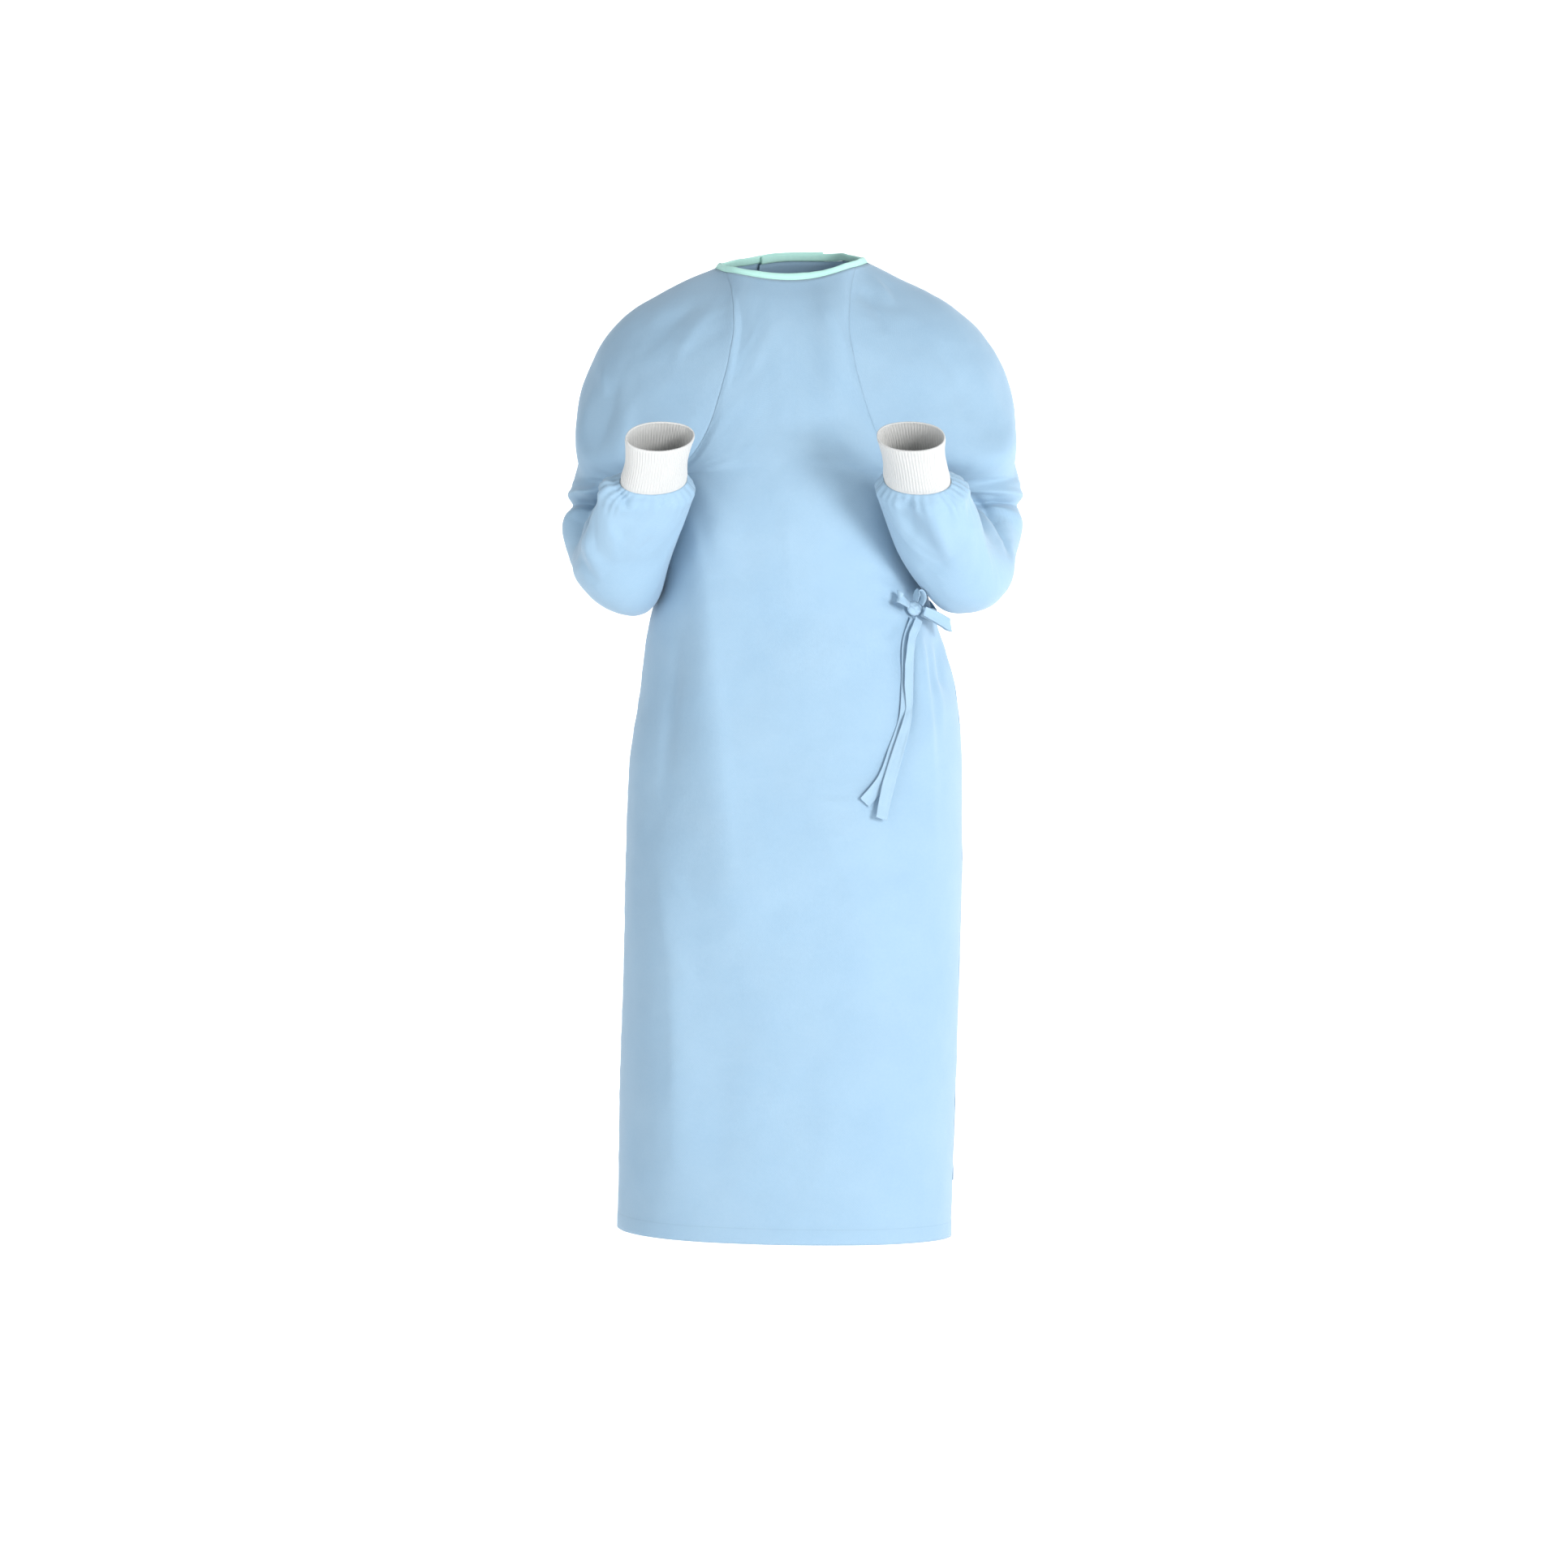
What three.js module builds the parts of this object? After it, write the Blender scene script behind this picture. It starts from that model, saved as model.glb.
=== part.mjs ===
// A wraparound surgical gown in its worn form, hollow and with nobody in it: front panel, two back
// panels that overlap, two raglan sleeves with knit cuffs, a neck binding and a waist tie in a bow.
// Millimetres. +X is the wearer's left, -Y the front, +Z up. The origin is the middle of the neck
// opening, where the wearer holds the gown up.
import * as THREE from "three";
import { mergeVertices } from "three/addons/utils/BufferGeometryUtils.js";

// Driving dimensions.
const clothWall = 2;
const cuffWall = 2.2;
const seamGap = 0.3;
const layerGap = 5; // from one back panel's outer face to the other's, where they overlap
const hemLevel = -1213;
const hemTilt = 6; // the hem is this much higher at the wearer's right side and lower at the left
const armpitLevel = -275;
const bindingHeight = 10;
const bindingWall = 3;
const bindingLean = 1.4; // how far the binding follows the slope of the cloth instead of standing up
const cuffLength = 75;
const tieWidth = 16;
const tieWall = 1.4;
// The neck tab's size in cells of the panel that it lies on, and its own grid.
const neckTab = { rowsDown: 0.6, cellsAcross: 2, cells: 3, wall: 1.5 };

// Grid sizes: how many cells each panel is divided into.
const skirtCells = 18;
const yokeCells = 10;
const frontCells = 24;
const outerBackCells = 14;
const underBackCells = 10;
const sleeveCells = 20;
const elbowCells = 10;
const forearmCells = 8;
const cuffCells = { along: 3, around: 20 };
const loopCells = 16;
const wrapCells = 18;
const longTailCells = 24;
const shortTailCells = 22;

// The curves between a panel's middle and its seams: how far their handles reach, as shares of the
// distance between the two ends, and how much of the difference in height they take up.
const ribHandles = { leaving: 0.45, arriving: 0.36, rise: 0.3 };
const capRise = { leaving: 0.35, arriving: 0.12 };
const sideHandle = 0.6;
const roundHandle = 4 / 3; // gives a half ring its full depth

// The skirt and waist, seen from the front and the side: where each level's sides, front and back lie.
// square is how far the front stays flat before it turns, as a share of the half width.
const bodyLevels = [
  { level: armpitLevel, left: -168, right: 168, front: -132, back: 122, square: 0.58 },
  { level: -330, left: -164, right: 165, front: -133, back: 117, square: 0.6 },
  { level: -395, left: -164, right: 167, front: -131, back: 111, square: 0.62 },
  { level: -447, left: -177, right: 181, front: -130, back: 107, square: 0.64 },
  { level: -483, left: -183, right: 193, front: -131, back: 108, square: 0.65 },
  { level: -535, left: -189, right: 206, front: -134, back: 113, square: 0.65 },
  { level: -636, left: -203, right: 214, front: -139, back: 126, square: 0.66 },
  { level: -738, left: -207, right: 214, front: -143, back: 132, square: 0.66 },
  { level: -890, left: -210, right: 210, front: -147, back: 138, square: 0.66 },
  { level: -1043, left: -215, right: 205, front: -151, back: 142, square: 0.65 },
  { level: hemLevel, left: -217, right: 200, front: -154, back: 145, square: 0.64 },
];

// The raglan seams and the shoulder line from the armpit (up 0) to the neck (up 1), for one side.
// fx, fy, fz lie on the front seam, tx, ty, tz on the top of the sleeve, bx, by, bz on the back seam.
// arrive and leave are the directions in which the body reaches the seam and the sleeve leaves it,
// in degrees from straight outwards, and full is how far the sleeve swells between seam and top.
const yokeLevels = [
  { up: 0, fx: 168, fy: 1, fz: -275, tx: 275, ty: 5, tz: -275, bx: 168, by: 3, bz: -275,
    arrive: 90, leave: -90, full: 0.86 },
  { up: 0.15, fx: 148, fy: -72, fz: -269, tx: 273, ty: 5, tz: -242, bx: 156, by: 60, bz: -263,
    arrive: 50, leave: -32, full: 0.62 },
  { up: 0.29, fx: 123, fy: -107, fz: -250, tx: 267, ty: 5, tz: -204, bx: 142, by: 97, bz: -240,
    arrive: 24, leave: -6, full: 0.48 },
  { up: 0.42, fx: 102, fy: -122, fz: -217, tx: 260, ty: 5, tz: -163, bx: 129, by: 113, bz: -203,
    arrive: 12, leave: 5, full: 0.41 },
  { up: 0.55, fx: 88, fy: -126, fz: -176, tx: 249, ty: 4, tz: -122, bx: 117, by: 118, bz: -158,
    arrive: 12, leave: 12, full: 0.38 },
  { up: 0.67, fx: 77, fy: -121, fz: -132, tx: 229, ty: 3, tz: -88, bx: 106, by: 114, bz: -111,
    arrive: 18, leave: 18, full: 0.36 },
  { up: 0.79, fx: 71, fy: -108, fz: -88, tx: 199, ty: 3, tz: -57, bx: 94, by: 104, bz: -66,
    arrive: 28, leave: 28, full: 0.35 },
  { up: 0.9, fx: 73, fy: -84, fz: -50, tx: 147, ty: 4, tz: -27, bx: 80, by: 86, bz: -29,
    arrive: 45, leave: 45, full: 0.35 },
  { up: 1, fx: 80, fy: -48, fz: -17, tx: 96, ty: 5, tz: -5, bx: 67, by: 58, bz: 6,
    arrive: 62, leave: 62, full: 0.35 },
];

// The middle of the front and of the back, over the same heights.
const middleLevels = [
  { up: 0, frontY: -132, frontZ: -275, backY: 122, backZ: -275 },
  { up: 0.15, frontY: -133, frontZ: -261, backY: 124, backZ: -257 },
  { up: 0.29, frontY: -134, frontZ: -238, backY: 126, backZ: -231 },
  { up: 0.42, frontY: -133, frontZ: -206, backY: 127, backZ: -196 },
  { up: 0.55, frontY: -130, frontZ: -168, backY: 126, backZ: -152 },
  { up: 0.67, frontY: -125, frontZ: -130, backY: 122, backZ: -106 },
  { up: 0.79, frontY: -116, frontZ: -93, backY: 113, backZ: -63 },
  { up: 0.9, frontY: -101, frontZ: -61, backY: 99, backZ: -23 },
  { up: 1, frontY: -80, frontZ: -31, backY: 80, backZ: 16 },
];

// The two sides differ a little: the wearer's left shoulder reaches further out and its neck end
// sits higher, the right elbow hangs nearer the body, and the left forearm points further in.
const sides = [
  { name: "right", sign: -1, reach: 0, lift: 0, elbowIn: 5, turnIn: 0, sag: 1 },
  { name: "left", sign: 1, reach: 12, lift: 7, elbowIn: -1, turnIn: 16, sag: 0.3 },
];

// The elbow is a fan of sections round one crook. bend is the way the sleeve points: 90 is straight
// down, 0 straight forwards and below 0 forwards and up. across is the section's middle, wide its
// half width, reach the distance from the crook's centre to the cloth at the elbow's far side, and
// sag the share by which that cloth hangs lower towards the body.
const crookY = -76;
const crookZ = -305;
const crookRadius = 12;
const elbowDepth = 66; // from the crook's cloth to the section's widest line
const elbowBends = [
  { bend: 90, across: 225, wide: 52, reach: 153, turn: 0, sag: 0 },
  { bend: 66, across: 228, wide: 52, reach: 157, turn: 2, sag: 0.1 },
  { bend: 45, across: 227, wide: 53, reach: 157, turn: 4, sag: 0.25 },
  { bend: 20, across: 223, wide: 54, reach: 146, turn: 8, sag: 0.4 },
  { bend: 0, across: 217, wide: 57, reach: 138, turn: 11, sag: 0.42 },
  { bend: -20, across: 209, wide: 58, reach: 125, turn: 14, sag: 0.34 },
  { bend: -38, across: 201, wide: 58, reach: 110, turn: 16, sag: 0.2 },
];
const forearmBend = elbowBends.at(-1).bend;

// The forearm from the elbow (far 0) to the cuff seam (far 1), and the cuff to its open end.
const cuffSeam = { across: 165, y: -214, z: -288, wide: 43, thick: 26 };
const cuffEnd = { wide: 42, thick: 25 };
const forearmSlack = 13; // how much fuller the sleeve is just before the cuff gathers it

// The largest folds of the front, each a soft ridge or, below 0, a trough. x is its place at the top
// and toX at the bottom. wide is its half width and high how far it stands out.
const frontFolds = [
  { x: -100, toX: -98, top: -150, bottom: -760, wide: 34, high: 9 },
  { x: -80, toX: -66, top: -560, bottom: -880, wide: 40, high: 5 },
  { x: -160, toX: -138, top: -700, bottom: -1240, wide: 36, high: 8 },
  { x: -150, toX: -172, top: -430, bottom: -760, wide: 26, high: -6 },
  { x: 46, toX: 58, top: -30, bottom: -210, wide: 20, high: 5 },
  { x: -62, toX: -58, top: -40, bottom: -200, wide: 22, high: -5 },
  { x: 150, toX: 170, top: -438, bottom: -680, wide: 13, high: 6 },
  { x: 136, toX: 140, top: -440, bottom: -600, wide: 12, high: -5 },
  { x: 172, toX: 200, top: -446, bottom: -560, wide: 12, high: -6 },
  { x: 30, toX: 60, top: -720, bottom: -1000, wide: 60, high: -3 },
  { x: 130, toX: 120, top: -900, bottom: -1240, wide: 48, high: 5 },
];

// The back's folds hang from the waist tie.
const backFolds = [
  { x: -120, toX: -150, top: -400, bottom: -900, wide: 30, high: 8 },
  { x: -40, toX: -60, top: -420, bottom: -1240, wide: 34, high: -8 },
  { x: 60, toX: 70, top: -420, bottom: -1240, wide: 36, high: 8 },
  { x: 130, toX: 150, top: -430, bottom: -900, wide: 26, high: -6 },
  { x: 10, toX: 0, top: -120, bottom: -440, wide: 40, high: 5 },
];

// The sleeves' folds. along runs from 0 at the neck, 1 at the armpit and 2 at the bend's start to 3
// at its end and 4 at the cuff. around is 0 at the underarm, 0.25 in front, 0.5 outside, 0.75 behind.
const sleeveFolds = [
  { along: 1.45, around: 0.3, slant: 0.5, long: 0.2, wide: 0.2, high: 8 },
  { along: 1.95, around: 0.34, slant: -0.6, long: 0.16, wide: 0.14, high: -9 },
  { along: 2.2, around: 0.4, slant: 0.4, long: 0.12, wide: 0.16, high: 9 },
  { along: 3.15, around: 0.3, slant: -0.8, long: 0.14, wide: 0.14, high: -7 },
  { along: 3.4, around: 0.28, slant: 0.4, long: 0.16, wide: 0.16, high: 6 },
  { along: 2.5, around: 0.72, slant: 0.8, long: 0.16, wide: 0.22, high: -6 },
  { along: 0.75, around: 0.36, slant: -1.2, long: 0.2, wide: 0.12, high: 6 },
  { along: 0.95, around: 0.44, slant: -1.6, long: 0.2, wide: 0.12, high: -6 },
  { along: 3.86, around: 0.5, slant: 0, long: 0.5, wide: 0.1, high: 3 },
];

// The waist tie's knot, on the front panel at the wearer's left.
const knot = { x: 147, z: -438, halfWidth: 11, halfHeight: 9.5, halfThickness: 7, seat: 0.4 };

// The two hanging ends. x and z are the middle of the tie, out is how far it stands off the cloth,
// and wide is the share of the tie's width that its folding leaves.
const longTail = [
  { x: 152, z: -451, out: 9, wide: 0.7 },
  { x: 144, z: -476, out: 8, wide: 0.8 },
  { x: 142, z: -526, out: 7, wide: 0.85 },
  { x: 143, z: -561, out: 7, wide: 0.5 },
  { x: 138, z: -580, out: 7, wide: 0.7 },
  { x: 128, z: -615, out: 7, wide: 0.9 },
  { x: 116, z: -655, out: 8, wide: 1 },
  { x: 106, z: -696, out: 11, wide: 1 },
];
const shortTail = [
  { x: 148, z: -450, out: 4, wide: 0.7 },
  { x: 141, z: -478, out: 3.6, wide: 0.8 },
  { x: 140, z: -526, out: 3.4, wide: 0.8 },
  { x: 137, z: -570, out: 3.2, wide: 0.8 },
  { x: 124, z: -612, out: 3, wide: 0.9 },
  { x: 110, z: -648, out: 3.2, wide: 1 },
  { x: 88, z: -676, out: 6, wide: 1 },
];

// The bow's loops. path is the middle line of the band, from the knot out and back to it, and across
// is the direction in which the band's width runs.
const loops = [
  {
    name: "tie_loop_left",
    across: [0.1, -0.35, -0.93],
    width: 14,
    path: [
      { x: 145, y: -100, z: -432 },
      { x: 139, y: -108, z: -428 },
      { x: 133.5, y: -110, z: -424.5 },
      { x: 131, y: -106.5, z: -422 },
      { x: 134, y: -103, z: -424.5 },
      { x: 140, y: -99.5, z: -429 },
      { x: 145.6, y: -93.1, z: -433 },
    ],
  },
  {
    name: "tie_loop_upper",
    across: [0.65, -0.76, 0],
    width: 13,
    path: [
      { x: 153, y: -93, z: -427 },
      { x: 154.5, y: -96, z: -420 },
      { x: 157.5, y: -98, z: -415.5 },
      { x: 160.5, y: -97, z: -418 },
      { x: 162, y: -93, z: -424 },
      { x: 159.6, y: -88.8, z: -431.1 },
    ],
  },
  {
    name: "tie_loop_right",
    across: [0.18, 0.02, -0.98],
    width: tieWidth,
    path: [
      { x: 164, y: -92, z: -439.5 },
      { x: 180, y: -84, z: -447 },
      { x: 192, y: -74, z: -453.5 },
      { x: 197.5, y: -66, z: -456.5 },
      { x: 194, y: -62, z: -455 },
      { x: 181, y: -70, z: -448.5 },
      { x: 161.3, y: -80, z: -439.7 },
    ],
  },
];

const point = (x, y, z) => new THREE.Vector3(x, y, z);
const degrees = THREE.MathUtils.degToRad;

// A number between two others, easing in and out.
const ease = (at, from, to) => THREE.MathUtils.smoothstep(at, Math.min(from, to), Math.max(from, to));

// A table read at any value of its first column: a smooth curve through each row that never
// overshoots, for every named column at once.
function readTable(rows, key, at) {
  const order = rows[0][key] < rows.at(-1)[key] ? rows : [...rows].reverse();
  const value = THREE.MathUtils.clamp(at, order[0][key], order.at(-1)[key]);
  let i = 0;
  while (i < order.length - 2 && value > order[i + 1][key]) i += 1;
  const span = order[i + 1][key] - order[i][key];
  const s = (value - order[i][key]) / span;
  const slope = (j, column) => {
    if (j < 0 || j > order.length - 2) return null;
    return (order[j + 1][column] - order[j][column]) / (order[j + 1][key] - order[j][key]);
  };
  const tangent = (j, column) => {
    const before = slope(j - 1, column);
    const after = slope(j, column);
    if (before === null) return after;
    if (after === null) return before;
    return before * after <= 0 ? 0 : (2 * before * after) / (before + after);
  };
  const read = {};
  for (const column of Object.keys(order[0])) {
    const a = order[i][column];
    const b = order[i + 1][column];
    const ta = tangent(i, column) * span;
    const tb = tangent(i + 1, column) * span;
    read[column] =
      a * (2 * s ** 3 - 3 * s ** 2 + 1) +
      ta * (s ** 3 - 2 * s ** 2 + s) +
      b * (3 * s ** 2 - 2 * s ** 3) +
      tb * (s ** 3 - s ** 2);
  }
  return read;
}

// A curve from one point to another that leaves and arrives along the given handles.
function bow(from, leaving, arriving, to, s) {
  const r = 1 - s;
  return from
    .clone()
    .multiplyScalar(r ** 3 + 3 * r ** 2 * s)
    .addScaledVector(leaving, 3 * r ** 2 * s)
    .addScaledVector(arriving, 3 * r * s ** 2)
    .addScaledVector(to, s ** 3 + 3 * r * s ** 2);
}

// How far the folds of a table move the cloth at a place on the body.
function bodyFold(folds, x, z) {
  return folds.reduce((sum, fold) => {
    const down = (fold.top - z) / (fold.top - fold.bottom);
    if (down <= 0 || down >= 1) return sum;
    const crest = fold.x + (fold.toX - fold.x) * down;
    const taper = ease(down, 0, 0.3) * (1 - ease(down, 0.65, 1));
    return sum + fold.high * taper * Math.exp(-(((x - crest) / fold.wide) ** 2));
  }, 0);
}

function sleeveFold(along, around) {
  return sleeveFolds.reduce((sum, fold) => {
    const off = around - fold.around;
    const across = (along - fold.along - fold.slant * off) / fold.wide;
    return sum + fold.high * Math.exp(-(across ** 2) - (off / fold.long) ** 2);
  }, 0);
}

// The yoke's table, with one side's reach and lift worked in. The lift fades to nothing at the armpit.
function yokeAt(side, up) {
  const row = readTable(yokeLevels, "up", up);
  const lift = side.lift * ease(up, 0.88, 1);
  const reach = side.reach * (1 - ease(up, 0.7, 1.05));
  return {
    ...row,
    front: point(side.sign * row.fx, row.fy, row.fz + lift),
    top: point(side.sign * (row.tx + reach), row.ty, row.tz + lift),
    back: point(side.sign * row.bx, row.by, row.bz + lift),
  };
}

// Half of a rib of the yoke, from the middle of the front or back (share 0) to the raglan seam.
function yokeRib(side, up, facing, share) {
  const row = yokeAt(side, up);
  const middle = readTable(middleLevels, "up", up);
  const isFront = facing < 0;
  const from = isFront
    ? point(0, middle.frontY, middle.frontZ)
    : point(0, middle.backY, middle.backZ);
  const to = isFront ? row.front : row.back;
  const chord = from.distanceTo(to);
  const angle = degrees(row.arrive);
  const back = ribHandles.arriving * chord;
  const leaving = point(side.sign * ribHandles.leaving * chord, 0, 0);
  const arriving = point(
    -side.sign * Math.cos(angle) * back,
    facing * Math.sin(angle) * back,
    (from.z - to.z) * ribHandles.rise,
  );
  return bow(from, leaving, arriving, to, share);
}

// Half of a level of the body below the armpits, from the middle of the front or back to the side.
function bodyRib(side, level, facing, share) {
  const row = readTable(bodyLevels, "level", level);
  const middle = ((row.left + row.right) / 2) * ease(level, armpitLevel, -500);
  const edge = side.sign < 0 ? row.left : row.right;
  const depth = facing < 0 ? row.front : row.back;
  const halfWidth = Math.abs(edge - middle);
  const from = point(middle, depth, level);
  const to = point(edge, 2, level);
  const leaving = point(side.sign * row.square * halfWidth, 0, 0);
  const arriving = point(0, depth * sideHandle, 0);
  return bow(from, leaving, arriving, to, share);
}

// A rib at any height. height runs from 0 at the hem through 1 at the armpit to 2 at the neck.
function rib(side, height, facing, share, hem = hemLevel) {
  if (height >= 1) return yokeRib(side, height - 1, facing, share);
  const p = bodyRib(side, hem + (armpitLevel - hem) * height, facing, share);
  p.z -= side.sign * hemTilt * share * (1 - height);
  return p;
}

const heights = [
  ...Array.from({ length: skirtCells }, (_, i) => i / skirtCells),
  ...Array.from({ length: yokeCells + 1 }, (_, i) => 1 + i / yokeCells),
];
const [rightSide, leftSide] = sides;

// One point of a raglan sleeve between the neck (along 0) and the armpit (along 1).
function capPoint(side, along, around) {
  const row = yokeAt(side, 1 - along);
  const inFront = around <= 0.5;
  const seam = inFront ? row.front : row.back;
  const facing = inFront ? -1 : 1;
  const chord = seam.distanceTo(row.top);
  const angle = degrees(row.leave);
  const rise = row.top.z - seam.z;
  const leaving = point(
    side.sign * Math.cos(angle) * row.full * chord,
    -facing * Math.sin(angle) * row.full * chord,
    rise * capRise.leaving,
  );
  const arriving = point(0, facing * row.full * chord, -rise * capRise.arriving);
  const share = inFront ? around * 2 : (1 - around) * 2;
  return bow(seam, leaving, arriving, row.top, share);
}

// A section of the sleeve below the armpit: a ring across the way that the sleeve points, with its
// own depth in front of its widest line and behind it.
function ringPoint(side, section, around) {
  const bend = degrees(section.bend);
  const turn = degrees(section.turn);
  const outwards = point(side.sign * Math.cos(turn), -Math.sin(turn), 0);
  const behind = point(
    -side.sign * Math.sin(turn) * Math.sin(bend),
    Math.cos(turn) * Math.sin(bend),
    -Math.cos(bend),
  );
  const middle = point(side.sign * section.across, section.y, section.z);
  const inFront = around <= 0.5;
  const depth = inFront ? -section.inFront : section.behind;
  const from = middle.clone().addScaledVector(outwards, -section.wide);
  const to = middle.clone().addScaledVector(outwards, section.wide);
  const handle = behind.clone().multiplyScalar(depth * roundHandle);
  const sag = inFront ? 0 : section.sag;
  const innerHandle = handle.clone().multiplyScalar(1 + sag);
  const outerHandle = handle.clone().multiplyScalar(1 - sag);
  const share = inFront ? around * 2 : (1 - around) * 2;
  return bow(from, innerHandle, outerHandle, to, share);
}

function elbowSection(side, bend) {
  const row = readTable(elbowBends, "bend", bend);
  const angle = degrees(bend);
  const out = crookRadius + elbowDepth;
  const inwards = side.elbowIn * ease(-bend, -60, -15) * (1 - ease(-bend, -15, 38));
  const outwards = side.reach * 0.8 * ease(bend, 40, 100);
  return {
    ...row,
    bend,
    across: row.across + outwards - inwards - side.turnIn * ease(-bend, -5, 45),
    sag: row.sag * side.sag,
    y: crookY + Math.sin(angle) * out,
    z: crookZ - Math.cos(angle) * out,
    inFront: elbowDepth,
    behind: row.reach - out,
  };
}

// The forearm's section at a share of the way from the elbow's end to the cuff seam.
function forearmSection(side, far) {
  const start = elbowSection(side, forearmBend);
  const mix = (a, b) => THREE.MathUtils.lerp(a, b, far);
  return {
    bend: start.bend,
    turn: start.turn,
    across: mix(start.across, cuffSeam.across - side.turnIn * 0.9),
    y: mix(start.y, cuffSeam.y),
    z: mix(start.z, cuffSeam.z),
    wide: mix(start.wide, cuffSeam.wide) + forearmSlack * far * (1 - ease(far, 0.84, 1)),
    inFront: mix(start.inFront, cuffSeam.thick),
    behind: mix(start.behind, cuffSeam.thick) + forearmSlack * Math.sin(Math.PI * far) * 0.4,
    sag: start.sag * (1 - far),
  };
}

// The cuff's section at a share of the way from its seam to its open end.
function cuffSection(side, far) {
  const seam = forearmSection(side, 1);
  const bend = degrees(seam.bend);
  const turn = degrees(seam.turn);
  const forward = cuffLength * far * Math.cos(bend);
  const waist = 3.5 * Math.sin(Math.PI * far);
  return {
    ...seam,
    across: seam.across - forward * Math.sin(turn) * 0.6,
    y: seam.y - forward,
    z: seam.z - cuffLength * far * Math.sin(bend),
    wide: THREE.MathUtils.lerp(cuffSeam.wide - 1.5, cuffEnd.wide, far) - waist,
    inFront: THREE.MathUtils.lerp(cuffSeam.thick - 1, cuffEnd.thick, far),
    behind: THREE.MathUtils.lerp(cuffSeam.thick - 1, cuffEnd.thick, far),
  };
}

// The sleeve's rows of sections, in order from the neck to the cuff, each with its place for folds.
function sleeveRows(side) {
  const rows = [];
  for (let i = yokeCells; i >= 0; i -= 1) {
    const along = 1 - i / yokeCells;
    rows.push({ along, at: (around) => capPoint(side, along, around) });
  }
  const start = elbowSection(side, 90);
  const seamRing = { ...start, z: (armpitLevel + crookZ) / 2 };
  rows.push({ along: 1.5, at: (around) => ringPoint(side, seamRing, around) });
  for (let i = 0; i <= elbowCells; i += 1) {
    const section = elbowSection(side, 90 + ((forearmBend - 90) * i) / elbowCells);
    rows.push({ along: 2 + i / elbowCells, at: (around) => ringPoint(side, section, around) });
  }
  for (let i = 1; i <= forearmCells; i += 1) {
    const section = forearmSection(side, i / forearmCells);
    rows.push({
      along: 3 + i / forearmCells,
      at: (around) => ringPoint(side, section, around),
    });
  }
  return rows;
}

// A grid of points by rows, from a function of row and column.
const grid = (rows, columns, at) =>
  Array.from({ length: rows }, (_, r) => Array.from({ length: columns }, (_, c) => at(r, c)));

// The outward direction at every point of a grid. flip is -1 where the grid runs the other way.
function normalsOf(points, flip) {
  const last = points.length - 1;
  const end = points[0].length - 1;
  return grid(last + 1, end + 1, (r, c) => {
    const down = points[Math.max(r - 1, 0)][c].clone().sub(points[Math.min(r + 1, last)][c]);
    const across = points[r][Math.min(c + 1, end)].clone().sub(points[r][Math.max(c - 1, 0)]);
    return down.cross(across).normalize().multiplyScalar(flip);
  });
}

// A panel of cloth: its outer points, and its outward directions.
function panelOf(points, flip) {
  return { points, flip, normals: normalsOf(points, flip) };
}

// Moves the cloth of a panel along its normals by the depth of its folds, fading out at the edges
// that are sewn, and works its normals out again.
function raiseFolds(panel, depth) {
  const moved = grid(panel.points.length, panel.points[0].length, (r, c) =>
    panel.points[r][c].clone().addScaledVector(panel.normals[r][c], depth(r, c)),
  );
  return panelOf(moved, panel.flip);
}

// Two edges that are sewn together share their outward directions, so that their cut edges face
// each other and never cross.
function shareNormals(edge, other) {
  edge.forEach((normal, i) => {
    const both = normal.clone().add(other[i]);
    if (both.lengthSq() < 0.04) return;
    both.normalize();
    normal.copy(both);
    other[i].copy(both);
  });
}

// Takes an edge back from its seam by half the gap, towards the next points of its own panel.
function trimEdge(edge, next) {
  edge.forEach((p, i) => {
    const step = next[i].clone().sub(p);
    const length = step.length();
    if (length > seamGap) p.addScaledVector(step, seamGap / 2 / length);
  });
}
const column = (rows, c) => rows.map((row) => row.at(c));

// The closed solid of a panel: its outer face, its inner face one wall further in, and its edges.
function wallOf(panel, wall) {
  const { points, normals } = panel;
  const rows = points.length;
  const columns = points[0].length;
  const positions = [];
  for (const inwards of [0, wall]) {
    for (let r = 0; r < rows; r += 1) {
      for (let c = 0; c < columns; c += 1) {
        const p = points[r][c].clone().addScaledVector(normals[r][c], -inwards);
        positions.push(p.x, p.y, p.z);
      }
    }
  }
  const outer = (r, c) => r * columns + c;
  const inner = (r, c) => rows * columns + r * columns + c;
  const faces = [];
  const quad = (a, b, c, d) => faces.push(a, b, c, a, c, d);
  // Cut edges that face each other along a seam are split the same way, from the lower outer
  // corner to the upper inner one.
  const climbs = points.at(-1)[0].z > points[0][0].z;
  const sideQuad = (a, b, c, d, fromFirst) => (fromFirst ? quad(a, b, c, d) : quad(b, c, d, a));
  for (let r = 0; r < rows - 1; r += 1) {
    for (let c = 0; c < columns - 1; c += 1) {
      quad(outer(r, c), outer(r + 1, c), outer(r + 1, c + 1), outer(r, c + 1));
      quad(inner(r, c), inner(r, c + 1), inner(r + 1, c + 1), inner(r + 1, c));
    }
  }
  for (let c = 0; c < columns - 1; c += 1) {
    quad(outer(0, c), outer(0, c + 1), inner(0, c + 1), inner(0, c));
    quad(outer(rows - 1, c + 1), outer(rows - 1, c), inner(rows - 1, c), inner(rows - 1, c + 1));
  }
  for (let r = 0; r < rows - 1; r += 1) {
    const end = columns - 1;
    sideQuad(outer(r + 1, 0), outer(r, 0), inner(r, 0), inner(r + 1, 0), !climbs);
    sideQuad(outer(r, end), outer(r + 1, end), inner(r + 1, end), inner(r, end), climbs);
  }
  const geometry = new THREE.BufferGeometry();
  geometry.setAttribute("position", new THREE.Float32BufferAttribute(positions, 3));
  geometry.setIndex(faces);
  return geometry;
}

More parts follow.
